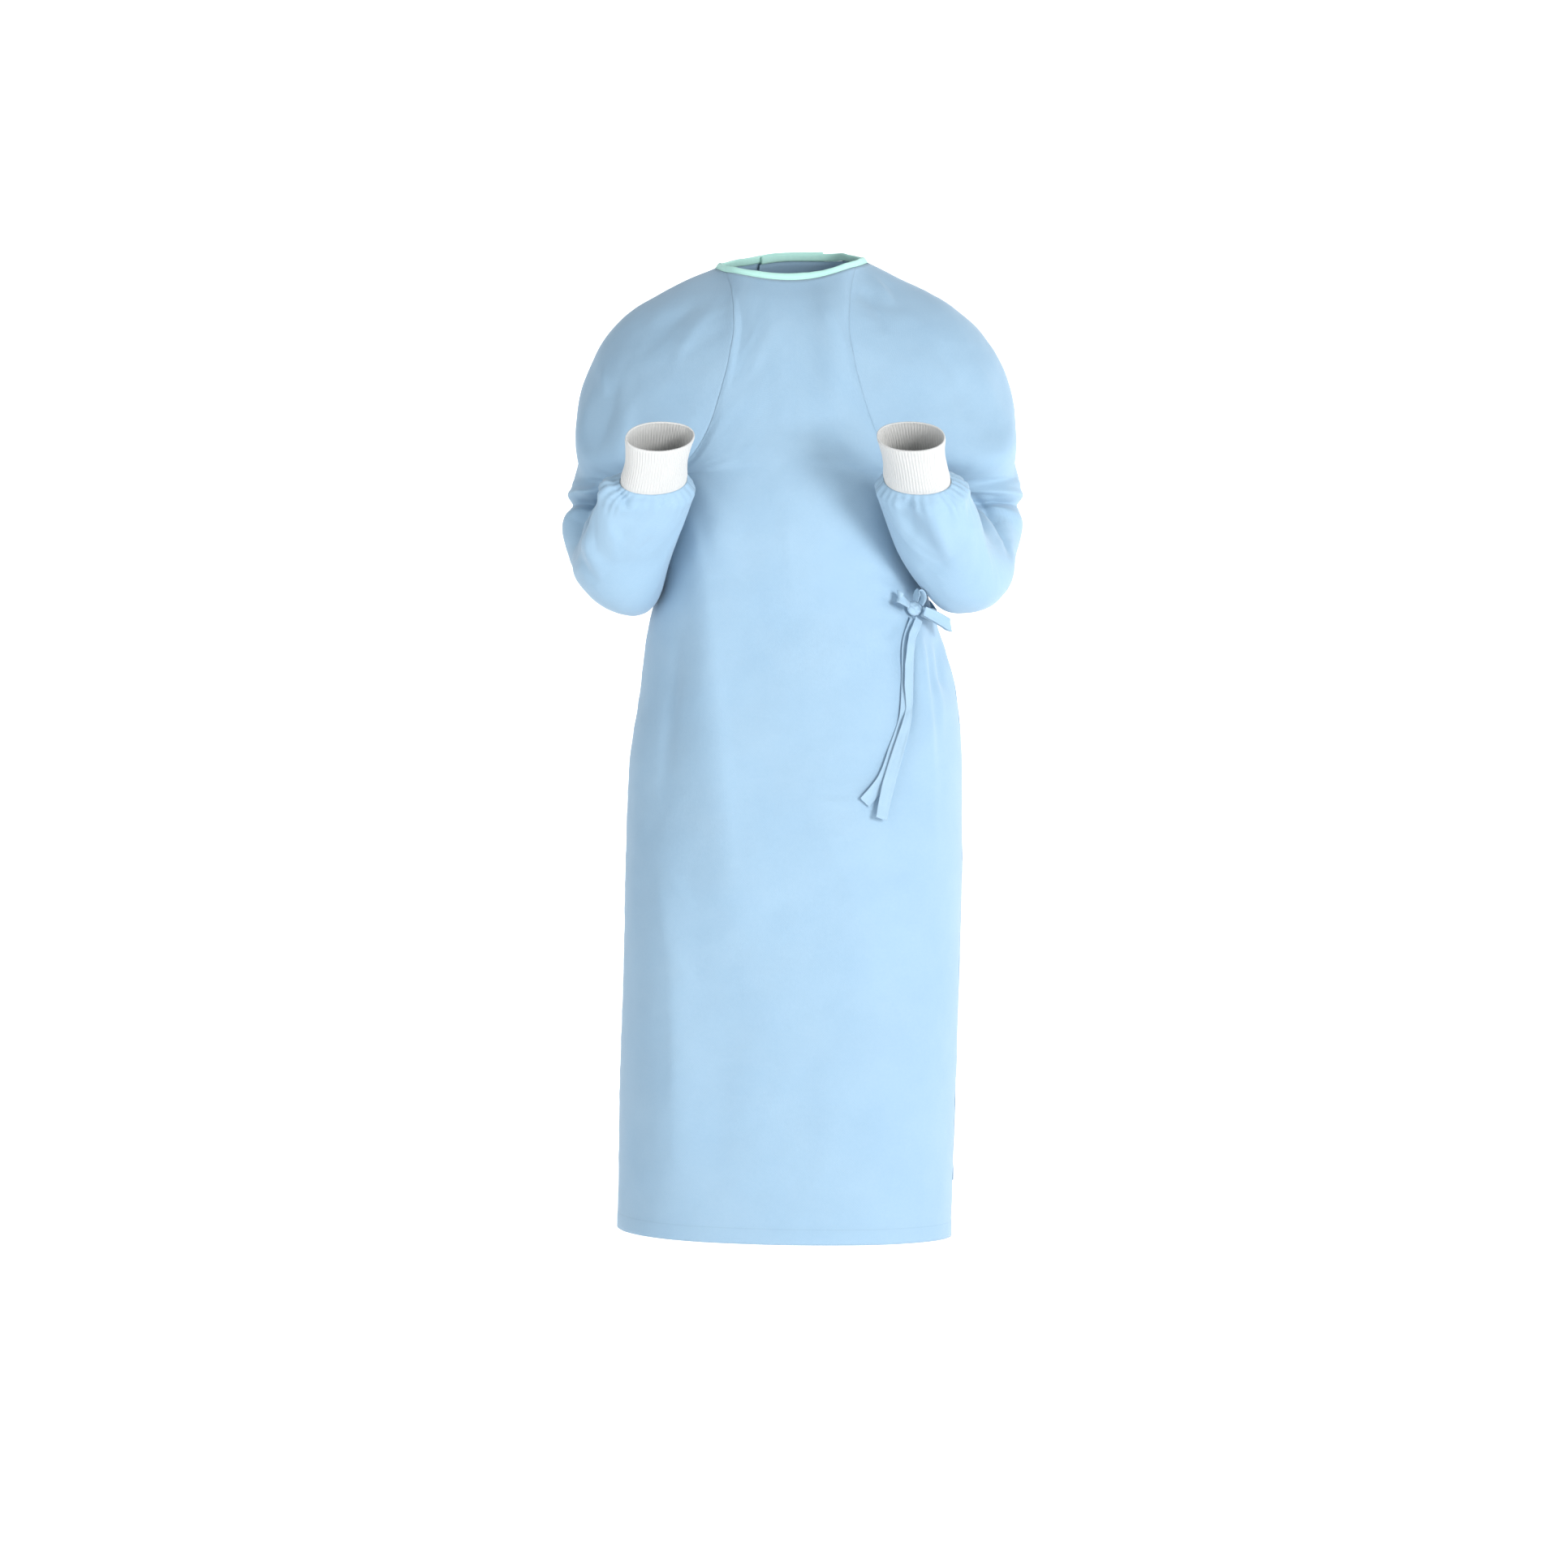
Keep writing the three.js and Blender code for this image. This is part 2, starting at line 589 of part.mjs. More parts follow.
const gown = new THREE.Group();
const cloth = { color: 0xb4d6f0, roughness: 0.85, metalness: 0 };
const knit = { color: 0xeeeeeb, roughness: 0.9, metalness: 0 };
const tape = { color: 0xb4e0d6, roughness: 0.8, metalness: 0 };

function addPiece(name, geometry, look) {
  const mesh = new THREE.Mesh(geometry, new THREE.MeshStandardMaterial(look));
  mesh.name = name;
  gown.add(mesh);
}

// Front panel: from the wearer's right side seam across the front to the left one.
function frontPanel() {
  const points = grid(heights.length, frontCells + 1, (r, c) => {
    const across = (c / frontCells) * 2 - 1;
    return rib(across < 0 ? rightSide : leftSide, heights[r], -1, Math.abs(across));
  });
  const panel = panelOf(points, 1);
  return raiseFolds(panel, (r, c) => {
    const p = points[r][c];
    const across = Math.abs((c / frontCells) * 2 - 1);
    const fade = (1 - ease(across, 0.86, 1)) * (1 - ease(heights[r], 1.9, 2));
    return bodyFold(frontFolds, p.x, p.z) * fade;
  });
}

// Where the free edge of the outer back panel and of the one under it lie, as a share of the half
// of the back that each reaches over to. height is 0 at the hem, 1 at the armpit and 2 at the neck.
const flapReach = [
  { height: 0, outer: 0.93, under: 0.5 },
  { height: 0.6, outer: 0.93, under: 0.5 },
  { height: 0.79, outer: 0.9, under: 0.48 },
  { height: 0.9, outer: 0.72, under: 0.46 },
  { height: 1, outer: 0.6, under: 0.45 },
  { height: 1.15, outer: 0.7, under: 0.53 },
  { height: 1.3, outer: 0.71, under: 0.55 },
  { height: 1.55, outer: 0.66, under: 0.53 },
  { height: 1.8, outer: 0.58, under: 0.5 },
  { height: 2, outer: 0.5, under: 0.5 },
];
const flapRise = 66; // how much higher the outer panel's free corner hangs than its other end

// One of the two back panels, from its own side seam over the middle of the back to its free edge.
// Where they lie on each other, layer gives the outer one's distance outside the shared surface.
function backPanel(side, otherSide, cells, isOuter) {
  const points = grid(heights.length, cells + 1, (r, c) => {
    const reach = readTable(flapReach, "height", heights[r])[isOuter ? "outer" : "under"];
    const over = (c / cells) * (1 + reach);
    const rise = isOuter ? flapRise * ease(over, 0.5, 1.9) : 0;
    const hem = hemLevel + rise;
    return over < 1
      ? rib(side, heights[r], 1, 1 - over, hem)
      : rib(otherSide, heights[r], 1, over - 1, hem);
  });
  const panel = panelOf(points, isOuter ? -1 : 1);
  return raiseFolds(panel, (r, c) => {
    const p = points[r][c];
    const reach = readTable(flapReach, "height", heights[r])[isOuter ? "outer" : "under"];
    const over = (c / cells) * (1 + reach);
    const place = isOuter ? over / 2 : 1 - over / 2;
    const lap = ease(place, 0.1, 0.9);
    const layer = isOuter ? layerGap * lap : -layerGap * (1 - lap);
    const fade = ease(over, 0, 0.2) * (1 - ease(Math.abs(place - 0.5) * 2, 0.8, 1));
    const neck = 1 - ease(heights[r], 1.85, 2);
    return layer + bodyFold(backFolds, p.x, p.z) * fade * neck;
  });
}

// A raglan sleeve, open along its underarm seam.
function sleevePanel(side) {
  const rows = sleeveRows(side);
  const points = grid(rows.length, sleeveCells + 1, (r, c) => rows[r].at(c / sleeveCells));
  const panel = panelOf(points, -side.sign);
  return raiseFolds(panel, (r, c) => {
    const around = c / sleeveCells;
    const edge = ease(around, 0, 0.12) * (1 - ease(around, 0.88, 1));
    const ends = ease(rows[r].along, 0, 0.2) * (1 - ease(rows[r].along, 3.8, 4));
    return sleeveFold(rows[r].along, around) * edge * ends;
  });
}

function cuffPanel(side) {
  const { along, around } = cuffCells;
  return grid(along + 1, around, (r, c) => ringPoint(side, cuffSection(side, r / along), c / around));
}

// A closed tube of cloth with a wall, open at both ends.
function tubeWall(points, wall) {
  const rows = points.length;
  const columns = points[0].length;
  const middles = points.map((row) =>
    row.reduce((sum, p) => sum.add(p), point(0, 0, 0)).divideScalar(columns),
  );
  const positions = [];
  for (const inwards of [0, wall]) {
    points.forEach((row, r) => {
      row.forEach((p, c) => {
        const across = row[(c + 1) % columns].clone().sub(row[(c + columns - 1) % columns]);
        const down = points[Math.max(r - 1, 0)][c].clone().sub(points[Math.min(r + 1, rows - 1)][c]);
        const normal = down.cross(across).normalize();
        if (normal.dot(p.clone().sub(middles[r])) < 0) normal.negate();
        const q = p.clone().addScaledVector(normal, -inwards);
        positions.push(q.x, q.y, q.z);
      });
    });
  }
  const outer = (r, c) => r * columns + (c % columns);
  const inner = (r, c) => rows * columns + r * columns + (c % columns);
  const faces = [];
  const quad = (a, b, c, d) => faces.push(a, b, c, a, c, d);
  for (let c = 0; c < columns; c += 1) {
    for (let r = 0; r < rows - 1; r += 1) {
      quad(outer(r, c), outer(r + 1, c), outer(r + 1, c + 1), outer(r, c + 1));
      quad(inner(r, c), inner(r, c + 1), inner(r + 1, c + 1), inner(r + 1, c));
    }
    quad(outer(0, c), outer(0, c + 1), inner(0, c + 1), inner(0, c));
    quad(outer(rows - 1, c + 1), outer(rows - 1, c), inner(rows - 1, c), inner(rows - 1, c + 1));
  }
  const geometry = new THREE.BufferGeometry();
  geometry.setAttribute("position", new THREE.Float32BufferAttribute(positions, 3));
  geometry.setIndex(faces);
  return facingOut(geometry);
}

// Turns a closed mesh's faces round if they point inwards.
function facingOut(geometry) {
  const index = geometry.index.array;
  const place = geometry.attributes.position;
  const corner = (i) => point(0, 0, 0).fromBufferAttribute(place, index[i]);
  let volume = 0;
  for (let i = 0; i < index.length; i += 3) {
    volume += corner(i).dot(corner(i + 1).cross(corner(i + 2)));
  }
  if (volume < 0) {
    for (let i = 0; i < index.length; i += 3) {
      [index[i + 1], index[i + 2]] = [index[i + 2], index[i + 1]];
    }
  }
  return geometry;
}

const front = frontPanel();
const outerBack = backPanel(rightSide, leftSide, outerBackCells, true);
const underBack = backPanel(leftSide, rightSide, underBackCells, false);
const sleeves = sides.map(sleevePanel);

sleeves.forEach((sleeve, i) => {
  const frontEdge = i === 0 ? 0 : -1;
  const capNormals = (c) => column(sleeve.normals, c).slice(0, yokeCells + 1).reverse();
  shareNormals(column(front.normals, frontEdge).slice(skirtCells), capNormals(0));
  const back = i === 0 ? outerBack : underBack;
  shareNormals(column(back.normals, 0).slice(skirtCells), capNormals(-1));
  const underarm = (c) => column(sleeve.normals, c).slice(yokeCells + 1);
  shareNormals(underarm(0), underarm(-1));
});
const sideSeam = (panel, c) => column(panel.normals, c).slice(0, skirtCells);
shareNormals(sideSeam(front, 0), sideSeam(outerBack, 0));
shareNormals(sideSeam(front, -1), sideSeam(underBack, 0));

for (const panel of [front, outerBack, underBack, ...sleeves]) {
  trimEdge(column(panel.points, 0), column(panel.points, 1));
  trimEdge(column(panel.points, -1), column(panel.points, -2));
}

addPiece("front_panel", facingOut(wallOf(front, clothWall)), cloth);
addPiece("back_panel_outer", facingOut(wallOf(outerBack, clothWall)), cloth);
addPiece("back_panel_under", facingOut(wallOf(underBack, clothWall)), cloth);
sleeves.forEach((sleeve, i) => {
  addPiece(`sleeve_${sides[i].name}`, facingOut(wallOf(sleeve, clothWall)), cloth);
});
sides.forEach((side) => {
  addPiece(`cuff_${side.name}`, tubeWall(cuffPanel(side), cuffWall), knit);
});

// A place on a panel between its points: its position moved out, and its outward direction.
function placeOn(panel, r, c, out = 0) {
  const r0 = Math.min(Math.floor(r), panel.points.length - 2);
  const c0 = Math.min(Math.floor(c), panel.points[0].length - 2);
  const mixed = (of) =>
    of[r0][c0]
      .clone()
      .lerp(of[r0][c0 + 1], c - c0)
      .lerp(of[r0 + 1][c0].clone().lerp(of[r0 + 1][c0 + 1], c - c0), r - r0);
  const normal = mixed(panel.normals).normalize();
  return { at: mixed(panel.points).addScaledVector(normal, out), normal };
}

// The row and column of the front panel that lie at x and z, found by halving.
function frontPlace(x, z) {
  const halve = (low, high, isBelow) => {
    for (let i = 0; i < 24; i += 1) {
      const mid = (low + high) / 2;
      if (isBelow(mid)) low = mid;
      else high = mid;
    }
    return (low + high) / 2;
  };
  let c = frontCells / 2;
  let r = 0;
  for (let i = 0; i < 4; i += 1) {
    r = halve(0, heights.length - 1, (row) => placeOn(front, row, c).at.z < z);
    c = halve(0, frontCells, (cell) => placeOn(front, r, cell).at.x < x);
  }
  return { r, c };
}

// A flat band of tie: rows of two edges and a middle, from its middle line, the way that it faces
// and its width at each step.
function bandPanel(middles, facings, widths) {
  const rows = middles.map((at, i) => {
    const along = middles[Math.min(i + 1, middles.length - 1)].clone();
    along.sub(middles[Math.max(i - 1, 0)]).normalize();
    const across = along.cross(facings[i]).normalize();
    return [-0.5, 0, 0.5].map((share) => at.clone().addScaledVector(across, share * widths[i]));
  });
  return { points: rows, normals: facings.map((f) => [f, f, f]) };
}

const smoothLine = (points, steps) =>
  new THREE.CatmullRomCurve3(points, false, "centripetal").getPoints(steps);

function addBand(name, middles, facings, widths) {
  addPiece(name, facingOut(wallOf(bandPanel(middles, facings, widths), tieWall)), cloth);
}

// A hanging end of the tie, from its table.
function addTail(name, table, steps) {
  const places = table.map((row) => {
    const { r, c } = frontPlace(row.x, row.z);
    return placeOn(front, r, c, row.out);
  });
  const middles = smoothLine(places.map((place) => place.at), steps);
  const facings = smoothLine(places.map((place) => place.normal), steps).map((f) => f.normalize());
  const widths = middles.map((_, i) => {
    const at = (i / steps) * (table.length - 1);
    const from = Math.min(Math.floor(at), table.length - 2);
    return tieWidth * THREE.MathUtils.lerp(table[from].wide, table[from + 1].wide, at - from);
  });
  addBand(name, middles, facings, widths);
}

function addLoop(loop) {
  const steps = loopCells;
  const middles = smoothLine(loop.path.map((p) => point(p.x, p.y, p.z)), steps);
  const across = point(...loop.across).normalize();
  const facings = middles.map((_, i) => {
    const along = middles[Math.min(i + 1, steps)].clone().sub(middles[Math.max(i - 1, 0)]);
    return across.clone().cross(along).normalize();
  });
  const widths = middles.map((_, i) => loop.width * (0.8 + 0.2 * Math.sin((Math.PI * i) / steps)));
  addBand(loop.name, middles, facings, widths);
}

function addKnot() {
  const { r, c } = frontPlace(knot.x, knot.z);
  const place = placeOn(front, r, c, knot.halfThickness + knot.seat);
  const shape = new THREE.SphereGeometry(1, 14, 10);
  shape.scale(knot.halfWidth, knot.halfHeight, knot.halfThickness);
  shape.deleteAttribute("normal");
  shape.deleteAttribute("uv");
  const mesh = new THREE.Mesh(mergeVertices(shape, 1e-3), new THREE.MeshStandardMaterial(cloth));
  mesh.name = "tie_knot";
  mesh.position.copy(place.at);
  const sideways = point(0, 0, 1).cross(place.normal).normalize();
  const upwards = place.normal.clone().cross(sideways);
  mesh.quaternion.setFromRotationMatrix(new THREE.Matrix4().makeBasis(sideways, upwards, place.normal));
  gown.add(mesh);
}

// The tie of the outer back panel: from its free edge round the wearer's left side to the knot.
function addWrapTie() {
  const level = knot.z - 5;
  const out = tieWall + 0.9;
  const start = frontPlace(knot.x + 14, level);
  const row = start.r;
  const places = [0, 0.4, 0.8, 1].map((share) =>
    placeOn(front, row, THREE.MathUtils.lerp(start.c, frontCells, share), out + 0.8 * (1 - share)),
  );
  places.push(placeOn(underBack, row, 0.3, out + layerGap * 0.6));
  places.push(placeOn(underBack, row, 0.6, out + layerGap * 1.1));
  places.push(placeOn(outerBack, row, outerBackCells, out + 1));
  places.push(placeOn(outerBack, row, outerBackCells - 1, out));
  const steps = wrapCells;
  const middles = smoothLine(places.map((place) => place.at), steps);
  const facings = smoothLine(places.map((place) => place.normal), steps).map((f) => f.normalize());
  addBand("tie_wrap", middles, facings, middles.map(() => tieWidth));
}

// The neck edge all the way round, from the outer back panel's free edge to that of the one under it.
function neckLine() {
  const top = (panel, r, step) => {
    const below = panel.points[r === 0 ? 1 : r - 1];
    return panel.points[r]
      .map((at, c) => ({ at, normal: panel.normals[r][c], below: below[c] }))
      .filter((_, c) => c % step === 0);
  };
  const last = heights.length - 1;
  const stretches = [
    top(outerBack, last, 2).reverse(),
    top(sleeves[0], 0, 2).reverse(),
    top(front, last, 1),
    top(sleeves[1], 0, 2),
    top(underBack, last, 2),
  ];
  return stretches.flat().filter((p, i, all) => i === 0 || p.at.distanceTo(all[i - 1].at) > 2);
}

function addNeckBinding() {
  const line = neckLine();
  const proud = (bindingWall - clothWall) / 2;
  const rows = [0, 1].map((share) =>
    line.map(({ at, normal, below }) => {
      const slope = at.clone().sub(below).normalize();
      const upright = slope.clone().multiplyScalar(bindingLean).add(point(0, 0, 1)).normalize();
      return at
        .clone()
        .addScaledVector(normal, proud)
        .addScaledVector(slope, seamGap + 0.1)
        .addScaledVector(upright, share * bindingHeight);
    }),
  );
  const panel = panelOf(rows, 1);
  line.forEach(({ normal }, c) => {
    panel.normals[0][c].copy(normal);
    if (panel.normals[1][c].dot(normal) < 0) panel.normals[1][c].negate();
  });
  addPiece("neck_binding", facingOut(wallOf(panel, bindingWall)), tape);
}

// The tab that closes the neck, on the outer back panel beside its free edge.
function addNeckTab() {
  const top = heights.length - 1.25;
  const rows = [0, 1].map((r) =>
    Array.from({ length: neckTab.cells + 1 }, (_, i) => {
      const c = outerBackCells - (neckTab.cellsAcross * i) / neckTab.cells;
      return placeOn(outerBack, top - (1 - r) * neckTab.rowsDown, c, neckTab.wall + 0.5);
    }),
  );
  const panel = {
    points: rows.map((row) => row.map((place) => place.at)),
    normals: rows.map((row) => row.map((place) => place.normal)),
  };
  addPiece("neck_tab", facingOut(wallOf(panel, neckTab.wall)), knit);
}

addNeckBinding();
addNeckTab();
addKnot();
loops.forEach(addLoop);
addTail("tie_tail_long", longTail, longTailCells);
addTail("tie_tail_short", shortTail, shortTailCells);
addWrapTie();

export default gown;
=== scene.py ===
# %% [markdown]
# # A surgical gown in its worn form
# A disposable surgical gown is cut from light blue nonwoven: fibres laid as a web and bonded point
# by point, so it is thin, matt and a little stiff. It keeps soft dents where it was folded, and it
# hangs in broad planes instead of small ripples. The cell below loads the imported model, which fixes
# every size here.

# %% Load the frame
import math
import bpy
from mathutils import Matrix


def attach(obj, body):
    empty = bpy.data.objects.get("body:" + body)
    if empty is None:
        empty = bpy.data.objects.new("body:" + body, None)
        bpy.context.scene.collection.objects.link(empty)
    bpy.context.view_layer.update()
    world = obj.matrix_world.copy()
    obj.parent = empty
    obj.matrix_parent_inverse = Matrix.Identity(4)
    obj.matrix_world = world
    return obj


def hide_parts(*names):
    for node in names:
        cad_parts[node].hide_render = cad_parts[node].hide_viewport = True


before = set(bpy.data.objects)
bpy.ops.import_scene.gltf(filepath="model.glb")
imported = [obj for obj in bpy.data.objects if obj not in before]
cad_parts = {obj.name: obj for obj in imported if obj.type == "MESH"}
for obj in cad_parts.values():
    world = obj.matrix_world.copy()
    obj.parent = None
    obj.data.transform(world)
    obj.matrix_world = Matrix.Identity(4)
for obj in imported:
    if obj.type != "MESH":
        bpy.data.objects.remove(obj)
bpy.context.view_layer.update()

from types import SimpleNamespace

import bpy
import numpy as np

MM = 0.001
HEM_LINE = 19

# %% [markdown]
# ## The camera and the room
# The camera comes first, since each form below is judged through it. It stands 4.6 m in front, level
# with the middle of the gown's height, with a long lens, so the gown is seen nearly square on. A
# white floor that curves up into the wall behind shows no horizon from here. It could be a plain
# world colour, but a real sweep returns soft light from below, which lifts the hem as a studio does.

# %% Camera
scene = bpy.context.scene
PICTURE, FOCAL_PIXELS, SENSOR_MM = 1932, 4509.8, 36
camera = bpy.data.objects.new("camera", bpy.data.cameras.new("camera"))
camera.data.sensor_width = SENSOR_MM
camera.data.lens = SENSOR_MM * FOCAL_PIXELS / PICTURE
camera.location = (-0.009, -4.6, -0.6528)
camera.rotation_euler = (math.radians(90), 0, 0)
scene.collection.objects.link(camera)
scene.camera = camera
print("lens", round(camera.data.lens, 1), "mm")


# %% Floor and backdrop
def mesh_object(name, points, faces):
    mesh = bpy.data.meshes.new(name)
    mesh.from_pydata([tuple(p) for p in points], [], [tuple(f) for f in faces])
    mesh.shade_smooth()
    made = bpy.data.objects.new(name, mesh)
    scene.collection.objects.link(made)
    return made


FLOOR_Z, FLOOR_FRONT, WALL_TOP, ROOM_HALF = -1.53, -8.0, 6.0, 7.0
SWEEP_RADIUS, SWEEP_START, SWEEP_STEPS = 1.6, 2.2, 12
profile = [(FLOOR_FRONT, FLOOR_Z), (SWEEP_START, FLOOR_Z)]
for step in range(1, SWEEP_STEPS + 1):
    turn = math.radians(90 * step / SWEEP_STEPS)
    up = SWEEP_RADIUS * (1 - math.cos(turn))
    profile.append((SWEEP_START + SWEEP_RADIUS * math.sin(turn), FLOOR_Z + up))
profile.append((SWEEP_START + SWEEP_RADIUS, WALL_TOP))
sweep_points = [(x, y, z) for y, z in profile for x in (-ROOM_HALF, ROOM_HALF)]
sweep_faces = [(2 * i, 2 * i + 1, 2 * i + 3, 2 * i + 2) for i in range(len(profile) - 1)]
floor = mesh_object("floor", sweep_points, sweep_faces)
print("sweep faces:", len(sweep_faces))

# %% [markdown]
# ## Shader maths as plain expressions
# A material is a graph of nodes, which is slow to read when it is built one link at a time. The two
# classes below let the graph be written as sums: `Value` wraps an output socket, so that
# `1 - mask * 0.3` adds its Math nodes by itself, and `Paint` makes any other node from its type,
# its settings and the values or links of its sockets.


# %% A socket that can be added and multiplied
class Value:
    def __init__(self, paint, socket):
        self.paint, self.socket = paint, socket

    def math(self, operation, first, second):
        return self.paint.node("Math", {"operation": operation}, {0: first, 1: second})["Value"]

    def __add__(self, other):
        return self.math("ADD", self, other)

    def __sub__(self, other):
        return self.math("SUBTRACT", self, other)

    def __rsub__(self, other):
        return self.math("SUBTRACT", other, self)

    def __mul__(self, other):
        return self.math("MULTIPLY", self, other)

    __radd__, __rmul__ = __add__, __mul__


class Made:
    def __init__(self, paint, node):
        self.paint, self.node = paint, node

    def __getitem__(self, key):
        found = [s for s in self.node.outputs if key in (s.identifier, s.name)]
        return Value(self.paint, found[0])


# %% A material that makes its nodes from one method
class Paint:
    def __init__(self, name):
        self.material = bpy.data.materials.new(name)
        self.material.use_nodes = True
        self.tree = self.material.node_tree
        self.shader = self.tree.nodes["Principled BSDF"]

    def node(self, kind, settings=None, inputs=None):
        node = self.tree.nodes.new("ShaderNode" + kind)
        for key, value in (settings or {}).items():
            setattr(node, key, value)
        for key, value in (inputs or {}).items():
            self.feed(node, key, value)
        return Made(self, node)

    def feed(self, node, key, value):
        if isinstance(key, int):
            socket = node.inputs[key]
        else:
            socket = next(s for s in node.inputs if key in (s.identifier, s.name))
        if isinstance(value, Value):
            self.tree.links.new(value.socket, socket)
        else:
            socket.default_value = value

    def surface(self, **inputs):
        for key, value in inputs.items():
            self.feed(self.shader, key.replace("_", " "), value)

    def mix(self, factor, first, second):
        colours = {"Factor_Float": factor, "A_Color": first, "B_Color": second}
        return self.node("Mix", {"data_type": "RGBA"}, colours)["Result_Color"]

    def fading(self, value, start, end):
        """1 where the value is below start, 0 above end, and a soft step between them."""
        stretch = {"Value": value, "From Min": start, "From Max": end, "To Min": 1.0, "To Max": 0.0}
        return self.node("MapRange", {"interpolation_type": "SMOOTHSTEP"}, stretch)["Result"]


def linear(red, green, blue):
    """A screen colour from 0 to 255 as the light that a shader works with."""
    share = [v / 255 for v in (red, green, blue)]
    return (*[v / 12.92 if v <= 0.04045 else ((v + 0.055) / 1.055) ** 2.4 for v in share], 1)


print("Value and Paint are ready")

# %% [markdown]
# ## The nonwoven
# Close up, the cloth is a web of fibres pressed flat at small points about 1.4 mm apart, and
# its blue is uneven where the web is thicker. From a step away it is just matt, with a faint bloom
# where it turns from the eye. A photo texture could show this, but it would blur close up, so the
# bond points and the fibres are textures worked out from the cloth's own coordinates in metres.


# %% Nonwoven material
def nonwoven(name, pale, deep, bond=1.0):
    paint = Paint(name)
    place = paint.node("UVMap", {"uv_map": "cloth"})["UV"]
    seam = paint.node("SeparateXYZ", {}, {0: paint.node("UVMap", {"uv_map": "seam"})["UV"]})
    broad = {"Vector": place, "Scale": 11.0, "Detail": 3.0, "Roughness": 0.6}
    cloud = paint.node("TexNoise", {}, broad)["Fac"]
    fine = {"Vector": place, "Scale": 240.0, "Detail": 4.0, "Roughness": 0.7}
    web = paint.node("TexNoise", {}, fine)["Fac"]
    stretched = paint.node("Mapping", {}, {"Vector": place, "Scale": (1500.0, 420.0, 1.0)})["Vector"]
    fibre = paint.node("TexNoise", {}, {"Vector": stretched, "Scale": 1.0, "Detail": 3.0})["Fac"]
    diagonal = paint.node("Mapping", {}, {"Vector": place, "Rotation": (0.0, 0.0, 0.785)})["Vector"]
    dots = {"Vector": diagonal, "Scale": 700.0, "Randomness": 0.12}
    distance = paint.node("TexVoronoi", {"feature": "F1"}, dots)["Distance"]
    point = paint.fading(distance, 0.22, 0.42)
    # Where the painted seam shade lies: full within 0.4 mm of a seam and gone by 2.6 mm.
    seam_shade_mask = paint.fading(seam["X"], 0.0004, 0.0026)
    from_hem = paint.node("Math", {"operation": "ABSOLUTE"}, {0: seam["Y"] - HEM_LINE * MM})["Value"]
    hem_line = paint.fading(from_hem, 0.0002, 0.0011)
    uneven = cloud * 0.62 + web * 0.5 - 0.08
    body = paint.mix(uneven, linear(*deep), linear(*pale))
    pressed = paint.mix(point * 0.10, body, linear(*[v * 0.8 for v in deep]))
    # Painted shade: near the seams and along the hem line the colour is mixed towards a darker blue, for
    # the shade that falls in them.
    colour = paint.mix(seam_shade_mask * 0.14 + hem_line * 0.1, pressed, linear(*[v * 0.72 for v in deep]))
    height = fibre * 0.35 + web * 0.35 - point * 0.55 * bond - hem_line * 0.4
    bump = paint.node("Bump", {}, {"Height": height, "Strength": 0.32, "Distance": 0.0004})["Normal"]
    paint.surface(Base_Color=colour, Roughness=0.66 + web * 0.2, Normal=bump)
    paint.surface(Sheen_Weight=0.22, Sheen_Roughness=0.45, Specular_IOR_Level=0.28)
    return paint.material


cloth_blue = nonwoven("nonwoven_blue", (161, 187, 206), (140, 172, 197))
tie_blue = nonwoven("nonwoven_tie", (165, 190, 208), (148, 178, 200), bond=0.6)
print("made", cloth_blue.name, "and", tie_blue.name)

# %% [markdown]
# ## The cuffs' rib knit
# The cuffs are white thread knitted in fine ribs that run along the sleeve, which lets them stretch
# and grip. The larger ribs are real waves in the mesh further down. The stitches between them are
# too small for that, so their rows come from two wave textures that cross.


# %% Rib knit material
def rib_knit(name, pale, deep):
    paint = Paint(name)
    place = paint.node("UVMap", {"uv_map": "cloth"})["UV"]
    row_waves = {"Vector": place, "Scale": 190.0, "Distortion": 1.2, "Detail": 1.0}
    rows = paint.node("TexWave", {"bands_direction": "Y"}, row_waves)["Fac"]
    wale_waves = {"Vector": place, "Scale": 165.0, "Distortion": 0.4}
    wales = paint.node("TexWave", {"bands_direction": "X"}, wale_waves)["Fac"]
    fuzz = paint.node("TexNoise", {}, {"Vector": place, "Scale": 900.0, "Detail": 3.0})["Fac"]
    stitch = wales * 0.6 + rows * wales * 0.5
    colour = paint.mix(stitch * 0.75 + fuzz * 0.2, linear(*deep), linear(*pale))
    height = stitch + fuzz * 0.4
    bump = paint.node("Bump", {}, {"Height": height, "Strength": 0.5, "Distance": 0.0004})["Normal"]
    paint.surface(Base_Color=colour, Roughness=0.8 + fuzz * 0.1, Normal=bump)
    paint.surface(Sheen_Weight=0.3, Sheen_Roughness=0.4, Specular_IOR_Level=0.25)
    return paint.material


knit_white = rib_knit("rib_knit_white", (212, 211, 208), (197, 197, 196))
print("made", knit_white.name)


# %% Binding tape and hook tape materials
def woven_tape(name, pale, deep, scale):
    paint = Paint(name)
    place = paint.node("UVMap", {"uv_map": "cloth"})["UV"]
    threads = {"Vector": place, "Scale": scale, "Distortion": 0.5}
    warp = paint.node("TexWave", {"bands_direction": "X"}, threads)["Fac"]
    weft = paint.node("TexWave", {"bands_direction": "Y"}, threads)["Fac"]
    mottle = paint.node("TexNoise", {}, {"Vector": place, "Scale": 120.0, "Detail": 3.0})["Fac"]
    grain = warp * 0.5 + weft * 0.5
    colour = paint.mix(grain * 0.4 + mottle * 0.6, linear(*deep), linear(*pale))
    height = grain + mottle * 0.3
    bump = paint.node("Bump", {}, {"Height": height, "Strength": 0.4, "Distance": 0.0003})["Normal"]
    paint.surface(Base_Color=colour, Roughness=0.7 + mottle * 0.15, Normal=bump)
    paint.surface(Sheen_Weight=0.15, Sheen_Roughness=0.5, Specular_IOR_Level=0.3)
    return paint.material


